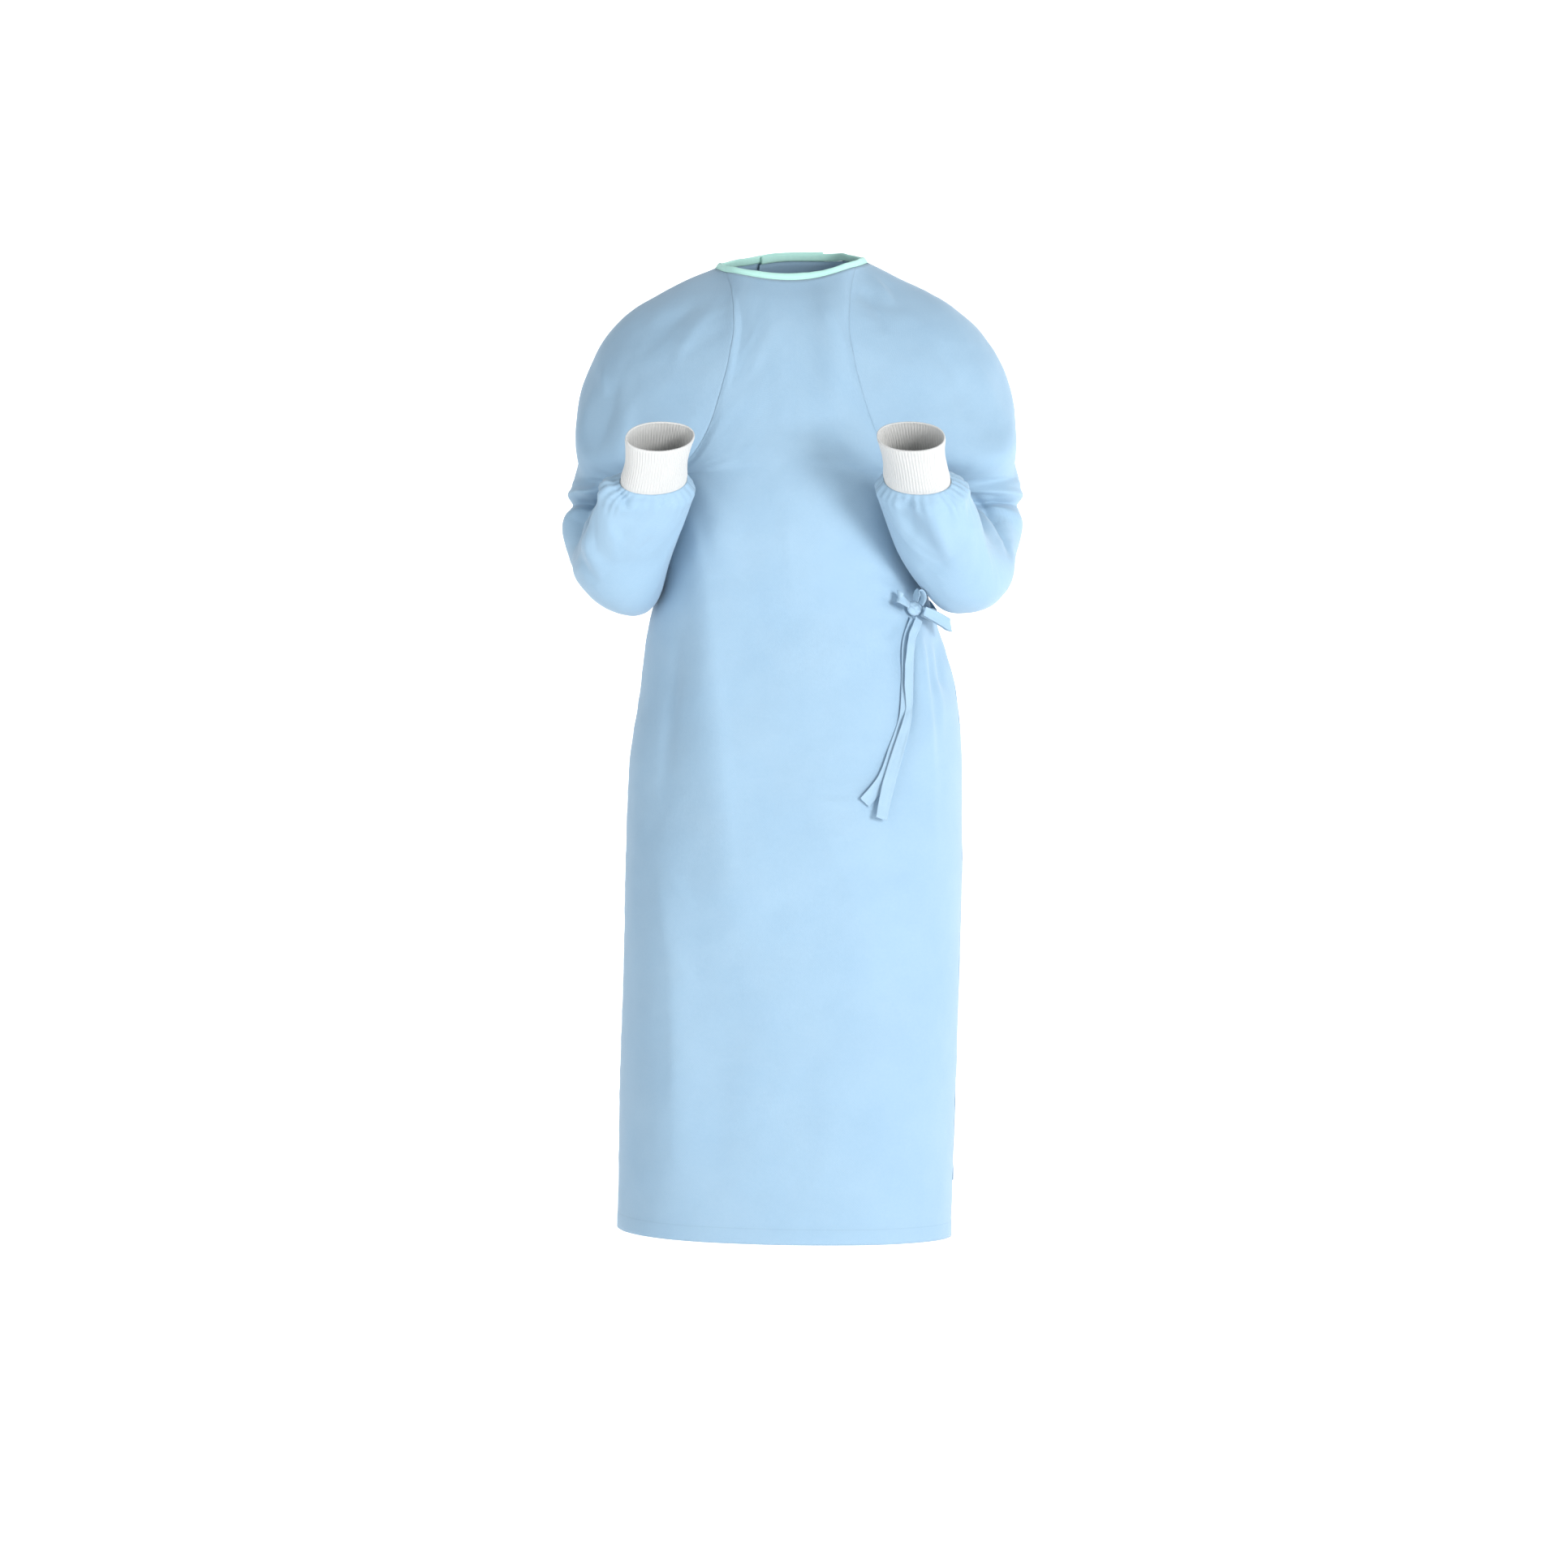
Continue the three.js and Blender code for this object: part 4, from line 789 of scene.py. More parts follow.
def back_points(side, other, columns, is_outer):
    height = heights[:, None] * np.ones((1, columns + 1))
    reach = getattr(FLAP(height), "outer" if is_outer else "under")
    over = np.linspace(0, 1, columns + 1)[None, :] * (1 + reach)
    hem = HEM + (FLAP_RISE * ease(over, 0.5, 1.9) if is_outer else 0)
    own = rib(side, height, 1, 1 - np.minimum(over, 1), hem)
    far = rib(other, height, 1, np.maximum(over - 1, 0), hem)
    points = np.where((over < 1)[..., None], own, far)
    place = over / 2 if is_outer else 1 - over / 2
    lap = ease(place, 0.1, 0.9)
    tucked = 2.6 * ease(over / (1 + reach), 0.88, 1) * (1 - ease(height, 1.75, 1.95))
    layer = LAYER_GAP * lap - tucked if is_outer else -LAYER_GAP * (1 - lap)
    fade = ease(over, 0, 0.2) * (1 - ease(np.abs(place - 0.5) * 2, 0.8, 1))
    fade = fade * (1 - ease(height, 1.85, 2))
    flip = -1 if is_outer else 1
    points = eased_at(SKIRT_ROWS, points, ease(over, 0, 0.1))
    normal, (u, v) = outward(points, flip), flat_lengths(points)
    x, z = points[..., 0], points[..., 2]
    edge = ease(over, 0, 0.08) * (1 - ease(height, 1.93, 2))
    shared = unevenness(x, z, 80, 21) * 0.9 + unevenness(x, z, 34, 22) * 0.4
    depth = layer + (body_folds(BACK_FOLDS, x, z) + creased(x, z, BACK_CREASES)) * fade + shared * edge
    depth += 0.6 * (1 - ease(v, HEM_LINE - 2, HEM_LINE + 2))
    return points + normal * depth[..., None], flip


outer, outer_flip = back_points(RIGHT, LEFT, 104, True)
under, under_flip = back_points(LEFT, RIGHT, 80, False)
print("back panels", round(surface_area(outer), 3), round(surface_area(under), 3), "square metres")
one_seam = {"seams": (True, False), "hem": True}
outer_piece = cloth_piece("gown_back_outer", outer, outer_flip, cloth_blue, CLOTH, **one_seam)
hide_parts("back_panel_outer")
under_piece = cloth_piece("gown_back_under", under, under_flip, cloth_blue, CLOTH, **one_seam)
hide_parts("back_panel_under")

# %% [markdown]
# ## The sleeves
# A bent sleeve has three sorts of crease: drag lines that fall from the raglan seam, a knot of
# sharp folds in the crook, and soft waves round its lower part. The creases are drawn as lines in
# the view from the front, and only the cloth that faces the front takes them. The far side gets its
# own.

# %% Sleeves
SLEEVE_ROWS, SLEEVE_COLUMNS, SHARP, GATHERS = 200, 128, 1.6, 26
SLEEVE_PLACES = [0, 0.34, 0.46, 0.72, 1]  # share of the rows at the neck, armpit, bend and cuff
RIGHT_CREASES = [  # path of (x, z), height, half widths, and how far along the sleeve from and to
    ([(-234, -135), (-231, -155), (-228, -172)], 1.6, 4, 8, 0.2, 2.0),
    ([(-270, -270), (-250, -276), (-230, -268), (-214, -262)], -6.0, 5, 7, 1.2, 2.4),
    ([(-262, -286), (-250, -292), (-238, -290)], 3.4, 5, 5, 1.4, 2.6),
    ([(-268, -300), (-252, -302), (-236, -296)], -3.6, 5, 6, 1.6, 2.8),
    ([(-216, -270), (-226, -280), (-244, -302), (-262, -327), (-268, -357), (-269, -392)],
     -7.0, 6, 7, 1.2, 4.2),
    ([(-206, -280), (-230, -308), (-247, -335), (-254, -370)], 4.0, 9, 8, 2.0, 4.2),
    ([(-268, -350), (-258, -380), (-238, -408)], -3.0, 8, 5, 1.6, 4.2),
    ([(-226, -318), (-220, -350), (-206, -384)], 2.2, 9, 14, 2.6, 4.2),
    ([(-214, -290), (-206, -306), (-196, -326)], -4.2, 8, 3, 2.8, 4.2),
    ([(-152, -318), (-164, -346), (-186, -372)], -2.0, 10, 7, 2.6, 4.2),
    ([(-190, -296), (-180, -304), (-166, -308)], -1.8, 5, 4, 3.4, 4.0),
    ([(-230, -290), (-216, -296), (-200, -318)], 3.0, 6, 8, 2.8, 4.0),
    ([(-222, -262), (-210, -266), (-198, -266)], -2.2, 4, 5, 3.2, 4.0),
    ([(-244, -150), (-252, -190), (-262, -236)], 1.8, 8, 12, 0.4, 1.9),
    ([(-214, -150), (-226, -200), (-240, -246)], -2.0, 9, 12, 0.4, 1.9),
    ([(-196, -176), (-206, -226), (-220, -262)], 1.6, 8, 12, 0.4, 1.9),
    ([(-150, -330), (-176, -352), (-204, -372)], 1.8, 10, 13, 2.6, 3.9),
    ([(-166, -300), (-182, -328), (-208, -352)], -2.0, 8, 12, 2.8, 4.0),
    ([(-252, -340), (-246, -372), (-228, -398)], 2.0, 8, 12, 2.3, 3.4),
    ([(-92, -60), (-120, -96), (-146, -140)], 1.8, 8, 13, 0.0, 1.0),
    ([(-110, -52), (-150, -84), (-184, -124)], -1.5, 9, 13, 0.0, 1.0)]
LEFT_CREASES = [
    ([(252, -160), (240, -186), (224, -222), (212, -240)], 4.4, 8, 9, 0.8, 2.2),
    ([(264, -188), (248, -214), (228, -240), (214, -250)], 3.2, 6, 7, 1.0, 2.3),
    ([(262, -176), (244, -204), (222, -236)], -4.0, 6, 6, 0.8, 2.2),
    ([(206, -248), (216, -262), (222, -274)], -5.0, 8, 8, 1.5, 2.6),
    ([(226, -256), (240, -268), (256, -282)], 4.0, 5, 7, 1.6, 2.7),
    ([(236, -262), (236, -280), (232, -298)], 3.0, 5, 6, 1.8, 2.8),
    ([(230, -266), (246, -282), (258, -300)], -4.2, 6, 6, 1.7, 2.8),
    ([(222, -296), (236, -307), (254, -326), (268, -350), (273, -376)], -7.0, 5, 7, 1.2, 4.2),
    ([(158, -296), (171, -326), (180, -350), (191, -380)], 3.8, 9, 24, 2.6, 4.2),
    ([(206, -288), (214, -312), (216, -344)], -2.4, 9, 5, 2.8, 4.2),
    ([(150, -296), (140, -322), (150, -356)], -2.2, 6, 9, 2.8, 4.2),
    ([(214, -296), (232, -320), (250, -350)], 2.6, 8, 10, 2.4, 3.5),
    ([(124, -300), (146, -330), (172, -368), (186, -392)], -2.6, 9, 12, 2.8, 4.0),
    ([(112, -318), (136, -352), (164, -388)], 1.8, 9, 12, 2.8, 4.0),
    ([(196, -270), (186, -286), (166, -300)], 2.2, 5, 7, 3.2, 4.0),
    ([(100, -22), (112, -36), (126, -58)], 2.2, 5, 8, 0.0, 0.7),
    ([(88, -34), (102, -62), (120, -96)], -1.8, 7, 10, 0.0, 0.9),
    ([(222, -120), (244, -160), (262, -206)], 1.8, 9, 12, 0.4, 1.7),
    ([(186, -110), (206, -160), (222, -206)], -1.8, 9, 12, 0.3, 1.7)]
FAR_CREASES = [  # the same on the far side of both sleeves, as distances out from the middle
    ([(236, -120), (246, -170), (248, -230)], 2.2, 9, 14, 0.4, 2.0),
    ([(206, -110), (220, -170), (228, -240)], -2.2, 9, 12, 0.3, 2.0),
    ([(200, -300), (228, -318), (258, -330)], 2.6, 8, 10, 1.8, 3.0),
    ([(204, -336), (232, -352), (258, -362)], -2.8, 8, 9, 2.0, 3.0),
    ([(196, -366), (226, -384), (250, -392)], 2.2, 8, 10, 2.0, 3.2),
    ([(96, -60), (130, -110), (160, -160)], 1.7, 9, 14, 0.0, 1.0)]


def sleeve_points(side, creases):
    along = np.linspace(0, 1, SLEEVE_ROWS + 1)
    along = np.interp(along, SLEEVE_PLACES, [0, 1, 2, 3, 4])[:, None]
    along = along * np.ones((1, SLEEVE_COLUMNS + 1))
    around = np.linspace(0, 1, SLEEVE_COLUMNS + 1)[None, :] * np.ones_like(along)
    points = sleeve_form(side, along, around)
    inner = ease(around, 0, 0.1) * (1 - ease(around, 0.9, 1))
    for place, weight in zip(SLEEVE_PLACES[1:4], (inner, inner, 0 * inner + 1)):
        points = eased_at(place * SLEEVE_ROWS, points, weight)
    flip = -side.sign
    normal, (u, v) = outward(points, flip), flat_lengths(points)
    edge = ease(around, 0, 0.12) * (1 - ease(around, 0.88, 1))
    ends = ease(along, 0, 0.2) * (1 - ease(along, 3.8, 4))
    depth = sleeve_folds(along, around) * edge * ends
    faces_front, faces_back = ease(-normal[..., 1], 0.0, 0.5), ease(normal[..., 1], 0.0, 0.5)
    x, z = points[..., 0], points[..., 2]
    seams = ease(around, 0, 0.05) * (1 - ease(around, 0.95, 1))
    seams = seams * ease(along, 0, 0.1) * (1 - ease(along, 3.9, 4))
    drawn = [(x, faces_front, SHARP, row) for row in creases]
    drawn += [(np.abs(x), faces_back, 1, row) for row in FAR_CREASES]
    for out, faces, sharp, (path, high, before, after, start, end) in drawn:
        inside = ease(along, start - 0.15, start + 0.15) * (1 - ease(along, end - 0.15, end + 0.15))
        depth += sharp * crease(out, z, path, high, before, after) * faces * seams * inside
    depth += slow(u, v, 31 if side.sign < 0 else 41, 1.5) * seams
    gathers = np.sin(around * 2 * np.pi * GATHERS + 3 * unevenness(around * 900, along * 0, 60, 51))
    uneven = 0.6 + 0.4 * unevenness(around * 900, along * 90, 70, 52)
    gathers *= ease(around, 0, 0.03) * (1 - ease(around, 0.97, 1))
    depth += 1.4 * gathers * ease(along, 3.6, 3.95) * (1 - ease(along, 3.975, 4)) * uneven
    depth -= 1.9 * ease(along, 3.96, 4)
    return points + normal * depth[..., None], flip


def with_allowance(grid, flip):
    """The grid with its two long edges run on 2 mm under the panels that they are sewn to."""
    normal = outward(grid, flip)
    below = 0.9 * (1 - ease(np.arange(len(grid)) / len(grid), 0.3, 0.36))[:, None]
    ends = []
    for at, inner in ((0, 2), (-1, -3)):
        onwards = grid[:, at] - grid[:, inner]
        onwards /= np.linalg.norm(onwards, axis=-1, keepdims=True)
        ends.append((grid[:, at] + onwards * 2 * below - normal[:, at] * below)[:, None])
    return np.concatenate([ends[0], grid, ends[1]], axis=1)


sleeve_pieces, sleeve_grids = {}, {}
for side, creases in ((RIGHT, RIGHT_CREASES), (LEFT, LEFT_CREASES)):
    grid, flip = sleeve_points(side, creases)
    sleeve_grids[side.name] = grid
    piece = cloth_piece("gown_sleeve_" + side.name, with_allowance(grid, flip), flip, cloth_blue, CLOTH)
    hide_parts("sleeve_" + side.name)
    sleeve_pieces[side.name] = piece
    print(piece.name, round(surface_area(grid), 3), "square metres")

# %% [markdown]
# ## The cuffs
# Each cuff is a knit tube, 75 mm long and doubled over at its open end, which is a soft fold. The
# ribs are modelled as waves all round: 64 ribs need about six points each. They run straight along
# the cuff and flatten where it is sewn to the sleeve.


# %% Cuffs
def cuff_section(side, far):
    seam = forearm_section(side, np.float64(1))
    bend, turn = math.radians(float(seam.bend)), math.radians(float(seam.turn))
    forward = CUFF_LENGTH * far * math.cos(bend)
    waist = 3.5 * np.sin(np.pi * far)
    thick = CUFF_SEAM.thick - 1 + (CUFF_END.thick - CUFF_SEAM.thick + 1) * far
    wide = CUFF_SEAM.wide - 1.5 + (CUFF_END.wide - CUFF_SEAM.wide + 1.5) * far - waist
    return SimpleNamespace(
        bend=seam.bend, turn=seam.turn, sag=0 * far, wide=wide, in_front=thick, behind=thick,
        across=seam.across - forward * math.sin(turn) * 0.6, y=seam.y - forward,
        z=seam.z - CUFF_LENGTH * far * math.sin(bend))


CUFF_RIBS, CUFF_ROWS, CUFF_KNIT = 64, 34, 1.5


def cuff_points(side):
    columns = CUFF_RIBS * 6
    far = np.r_[-0.09, -0.05, np.linspace(0, 1, CUFF_ROWS + 1)][:, None] * np.ones((1, columns))
    around = np.arange(columns)[None, :] / columns * np.ones_like(far)
    points = ring_point(side, cuff_section(side, far), around)
    middle = points.mean(axis=1, keepdims=True)
    radial = points - middle
    radial /= np.linalg.norm(radial, axis=-1, keepdims=True)
    ribs = 0.26 * np.cos(2 * np.pi * CUFF_RIBS * around) * ease(far, 0.0, 0.05)
    ribs = ribs * (1 - 0.5 * ease(far, 0.95, 1))
    ease_in = -0.9 * (1 - ease(far, 0.02, 0.08)) * ease(far, -0.09, -0.02) - 0.8 * ease(far, 0.955, 1)
    dents = 0.9 * unevenness(around * 250, far * 75, 27, 61 if side.sign < 0 else 62) * ease(far, 0, 0.2)
    return points + radial * (ribs + ease_in + dents)[..., None]


cuff_pieces, tube = {}, {"seams": (False, False), "closed": True}
for side in (RIGHT, LEFT):
    grid = cuff_points(side)
    piece = cloth_piece("gown_cuff_" + side.name, grid, side.sign, knit_white, CUFF_KNIT, **tube)
    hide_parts("cuff_" + side.name)
    cuff_pieces[side.name] = piece
    print(piece.name, round(surface_area(grid), 4), "square metres")

# %% [markdown]
# ## The neck binding
# A folded mint tape covers the raw neck edge all the way round, 10 mm high and, with the cloth
# inside it, about 4 mm thick. It could be a curve with a bevel, but a curve turns freely, and a tape
# must stand square on the cloth at each point. So a small rounded section is set at each step of
# the neck edge.

# %% Neck binding
BINDING_LEAN = 1.4


def neck_edge():
    """The top edge of the cloth all the way round, with its outward directions and its slopes."""
    stretches = []
    around_neck = [
        (outer, outer_flip, -1, -8, True),
        (sleeve_grids["right"], 1, 0, 8, True),
        (front, 1, -1, -8, False),
        (sleeve_grids["left"], -1, 0, 8, False),
        (under, under_flip, -1, -8, False)]
    for grid, flip, row, below, reverse in around_neck:
        normal, step = outward(grid, flip)[row], grid[row] - grid[below]
        slope = step / np.linalg.norm(step, axis=-1, keepdims=True)
        part = np.stack([grid[row], normal, slope], 1)
        stretches.append(part[::-1] if reverse else part)
    line = np.concatenate(stretches)
    kept = [0]
    for i in range(1, len(line)):
        if np.linalg.norm(line[i, 0] - line[kept[-1], 0]) > 1.6:
            kept.append(i)
    line = line[kept]
    for _ in range(3):
        line[1:-1, 1:] = (line[:-2, 1:] + 2 * line[1:-1, 1:] + line[2:, 1:]) / 4
    line[:, 1:] /= np.linalg.norm(line[:, 1:], axis=-1, keepdims=True)
    return line[:, 0], line[:, 1], line[:, 2]


def swept(name, rows, material):
    """A solid band from a list of equal closed sections, with its two ends filled."""
    rows = np.asarray(rows)
    count, size = rows.shape[:2]
    faces = []
    for r in range(count - 1):
        for c in range(size):
            here, beside = r * size + c, r * size + (c + 1) % size
            faces.append((here, beside, beside + size, here + size))
    faces += [tuple(range(size))[::-1], tuple(range((count - 1) * size, count * size))]
    made = mesh_object(name, rows.reshape(-1, 3) * MM, faces)
    steps = np.r_[0, np.cumsum(np.linalg.norm(np.diff(rows.mean(axis=1), axis=0), axis=1))]
    round_it = np.r_[0, np.cumsum(np.linalg.norm(np.diff(rows[0], axis=0), axis=1))]
    made.data.uv_layers.new(name="cloth")
    flat = np.zeros((len(made.data.loops), 2), np.float32)
    vertex = np.array([loop.vertex_index for loop in made.data.loops])
    flat[:, 0], flat[:, 1] = steps[vertex // size] * MM, round_it[vertex % size] * MM
    made.data.uv_layers["cloth"].data.foreach_set("uv", flat.ravel())
    made.data.materials.append(material)
    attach(made, "root")
    return made


BINDING_SECTION = [  # how far up and how far out
    (0.3, 0.1), (1.4, 0.25), (2.0, -0.05), (2.6, 0.3), (5, 0.55), (8, 0.4), (9.5, -0.3), (10, -1.4),
    (9.6, -2.5), (8, -3.15), (5, -3.35), (2.5, -3.2), (0.3, -3.0)]
edge, edge_normal, edge_slope = neck_edge()
upright = edge_slope * BINDING_LEAN + np.array([0, 0, 1])
upright /= np.linalg.norm(upright, axis=-1, keepdims=True)
facing = edge_normal - upright * (edge_normal * upright).sum(-1, keepdims=True)
facing /= np.linalg.norm(facing, axis=-1, keepdims=True)
run = np.r_[0, np.cumsum(np.linalg.norm(np.diff(edge, axis=0), axis=1))]
ripple = 0.35 * unevenness(run, run * 0, 21, 71) + 0.2 * unevenness(run, run * 0, 8, 72)
base = edge + edge_normal * 0.5 + edge_slope * 0.4
binding_rows = []
for up, out in BINDING_SECTION:
    raised = upright * (up + (ripple[:, None] * (up > 3)))
    binding_rows.append(base + raised + facing * (out + ripple[:, None] * 0.5))
binding = swept("neck_binding_tape", np.stack(binding_rows, 1), mint_tape)
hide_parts("neck_binding")
print("the binding is", round(run[-1]), "mm long")

# %% [markdown]
# ## Stitches
# The binding is sewn on with one row of stitches near its lower edge. Each stitch is a tiny rounded
# bar that lies on the tape. They are far too many to place as objects, so one bar is copied along
# the line inside a single mesh.


# %% Stitches along a line
BAR_END = [(-1, 0), (-0.7, 0.7), (0.7, 0.7), (1, 0)]
BAR = np.array([(along, across, up) for across in (-0.5, 0.5) for along, up in BAR_END])
BAR_FACES = [(0, 3, 2, 1), (4, 5, 6, 7), (0, 1, 5, 4), (1, 2, 6, 5), (2, 3, 7, 6), (0, 4, 7, 3)]


def stitches(name, line, normals, pitch, length, width, material):
    reach = np.r_[0, np.cumsum(np.linalg.norm(np.diff(line, axis=0), axis=1))]
    places = np.arange(pitch, reach[-1] - pitch, pitch)
    at = np.stack([np.interp(places, reach, line[:, k]) for k in range(3)], 1)
    ahead = np.stack([np.interp(places + 0.5, reach, line[:, k]) for k in range(3)], 1)
    up = np.stack([np.interp(places, reach, normals[:, k]) for k in range(3)], 1)
    forward = (ahead - at) / np.linalg.norm(ahead - at, axis=-1, keepdims=True)
    sideways = np.cross(up, forward)
    points = at[:, None] + forward[:, None] * BAR[None, :, :1] * length / 2
    points = points + sideways[:, None] * BAR[None, :, 1:2] * width
    points = points + up[:, None] * BAR[None, :, 2:] * width * 0.6
    faces = [tuple(8 * i + k for k in face) for i in range(len(places)) for face in BAR_FACES]
    made = mesh_object(name, points.reshape(-1, 3) * MM, faces)
    made.data.uv_layers.new(name="cloth")
    made.data.materials.append(material)
    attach(made, "root")
    print(name, len(places), "stitches")
    return made


STITCH_PITCH, STITCH_LENGTH, STITCH_WIDTH = 2.6, 1.9, 0.28
stitch_line = base + upright * 2.0 + facing * 0.05
binding_stitches = stitches("neck_binding_stitches", stitch_line, facing,
                            STITCH_PITCH, STITCH_LENGTH, STITCH_WIDTH, stitch_thread)

# %% [markdown]
# ## The neck tab
# A strip of hook tape on the outer panel's free edge closes the neck behind. It is a small stiff
# rectangle, sewn round its edge, so it is a grid that follows the panel it lies on, with thickness.


# %% Neck tab
def on_grid(grid, flip, r, c, out):
    """A place between the points of a grid, moved out along the cloth's own direction."""
    normal = outward(grid, flip)
    r, c = np.asarray(r, float), np.asarray(c, float)
    r0, c0 = np.clip(r.astype(int), 0, grid.shape[0] - 2), np.clip(c.astype(int), 0, grid.shape[1] - 2)
    fr, fc = (r - r0)[..., None], (c - c0)[..., None]

    def mix(g):
        above = g[r0, c0] * (1 - fc) + g[r0, c0 + 1] * fc
        below = g[r0 + 1, c0] * (1 - fc) + g[r0 + 1, c0 + 1] * fc
        return above * (1 - fr) + below * fr

    way = mix(normal)
    way /= np.linalg.norm(way, axis=-1, keepdims=True)
    return mix(grid) + way * np.asarray(out)[..., None], way


TAB_ROWS, TAB_COLUMNS, TAB_TAPE = 13, 25, 1.4
tab_down = 1 - np.linspace(0.085, 0.025, TAB_ROWS)
tab_rows = SKIRT_ROWS + YOKE_ROWS * tab_down[:, None] * np.ones((1, TAB_COLUMNS))
tab_across = 1 - 2 / 14 * np.linspace(1, 0, TAB_COLUMNS)
tab_columns = (outer.shape[1] - 1) * tab_across[None, :] * np.ones((TAB_ROWS, 1))
from_middle = [np.abs(np.linspace(-1, 1, count)) for count in (TAB_ROWS, TAB_COLUMNS)]
ring = np.maximum(from_middle[0][:, None], from_middle[1][None, :])
tab_out = 2.0 - 0.5 * ease(ring, 0.82, 0.9) + 0.3 * ease(ring, 0.9, 1)
tab_grid, _ = on_grid(outer, outer_flip, tab_rows, tab_columns, tab_out)
tab = cloth_piece("neck_tab_tape", tab_grid, outer_flip, hook_tape, TAB_TAPE, seams=(False, False))
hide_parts("neck_tab")

# %% [markdown]
# ## The tie and its bow
# The tie is a flat tape of the same nonwoven, 16 mm wide, its edges folded in. A curve with a flat
# bevel would make a ribbon, but it can't crumple. A grid of 11 points across can: the folded edges
# stand a little thicker, the middle sinks, and the tape twists and narrows where the knot squeezes it.


# %% Ribbons
def smooth_line(points, count):
    """A smooth curve through points, sampled evenly along each of its stretches."""
    points = np.array(points, float)
    knots = np.r_[0, np.cumsum(np.linalg.norm(np.diff(points, axis=0), axis=1) ** 0.5)]
    slopes = np.gradient(points, knots, axis=0)
    at = np.interp(np.linspace(0, len(points) - 1, count), np.arange(len(points)), knots)
    i = np.clip(np.searchsorted(knots, at, "right") - 1, 0, len(points) - 2)
    span = (knots[i + 1] - knots[i])[:, None]
    s = (at - knots[i])[:, None] / span
    return (points[i] * (2 * s**3 - 3 * s**2 + 1) + slopes[i] * span * (s**3 - 2 * s**2 + s)
            + points[i + 1] * (3 * s**2 - 2 * s**3) + slopes[i + 1] * span * (s**3 - s**2))


ACROSS = np.linspace(-1, 1, 11)
OFF = np.abs(ACROSS)
TAPE_PROFILE = 0.25 * ease(OFF, 0.55, 0.8) - 0.25 * ease(OFF, 0.3, 0.6) * (1 - ease(OFF, 0.6, 0.8))
TAPE_THICKNESS = 0.55


def ribbon(name, middles, across, widths, seed, crumpled=1.0):
    """A crumpled tape along a line. across is the direction of its width at each step."""
    along = np.gradient(middles, axis=0)
    along /= np.linalg.norm(along, axis=-1, keepdims=True)
    across = across - along * (across * along).sum(-1, keepdims=True)
    across /= np.linalg.norm(across, axis=-1, keepdims=True)
    face = np.cross(across, along)
    run = np.r_[0, np.cumsum(np.linalg.norm(np.diff(middles, axis=0), axis=1))]
    at, over = run[:, None] + 0 * ACROSS, ACROSS * 9 + 0 * run[:, None]
    crumple = 0.8 * unevenness(at, over, 13, seed) + 0.3 * unevenness(at, over, 5, seed + 1)
    lift = TAPE_PROFILE[None, :] + crumple * crumpled
    sideways = ACROSS[None, :] * np.asarray(widths)[:, None] / 2
    points = middles[:, None] + across[:, None] * sideways[..., None] + face[:, None] * lift[..., None]
    made = cloth_piece(name, points, 1, tie_blue, TAPE_THICKNESS, seams=(False, False))
    made.modifiers["thickness"].offset = 0
    return made, float(run[-1])


def on_front(x, z, out):
    """The place of the front panel at x and z, moved out."""
    near = np.argmin((front[..., 0] - x) ** 2 + (front[..., 2] - z) ** 2)
    r, c = np.unravel_index(near, front.shape[:2])
    normal = front_normals[r, c]
    shift = np.array([x - front[r, c, 0], 0, z - front[r, c, 2]])
    return front[r, c] + shift + normal * out, normal


front_normals = outward(front, 1)
TIE_WIDTH = 16
KNOT = SimpleNamespace(x=147, z=-438, half_width=11, half_height=9.5, half_thickness=7, seat=0.4)
TAILS = {  # x, z, distance off the cloth, share of the width
    "long": [
        (152, -451, 9, 0.7), (144, -476, 8, 0.8), (142, -526, 7, 0.85), (143, -561, 7, 0.5),
        (138, -580, 7, 0.7), (128, -615, 7, 0.9), (116, -655, 8, 1), (106, -696, 11, 1)],
    "short": [
        (148, -450, 4, 0.7), (141, -478, 3.6, 0.8), (140, -526, 3.4, 0.8), (137, -570, 3.2, 0.8),
        (124, -612, 3, 0.9), (110, -648, 3.2, 1), (88, -676, 6, 1)]}
LOOPS = {  # the way across, the width and the path
    "left": ((0.1, -0.35, -0.93), 14, [
        (145, -100, -432), (139, -108, -428), (133.5, -110, -424.5), (131, -106.5, -422),
        (134, -103, -424.5), (140, -99.5, -429), (145.6, -93.1, -433)]),
    "upper": ((0.65, -0.76, 0), 13, [
        (153, -93, -427), (154.5, -96, -420), (157.5, -98, -415.5), (160.5, -97, -418),
        (162, -93, -424), (159.6, -88.8, -431.1)]),
    "right": ((0.18, 0.02, -0.98), 16, [
        (164, -92, -439.5), (180, -84, -447), (192, -74, -453.5), (197.5, -66, -456.5),
        (194, -62, -455), (181, -70, -448.5), (161.3, -80, -439.7)])}
print(len(TAILS), "ends and", len(LOOPS), "loops,", TIE_WIDTH, "mm wide")

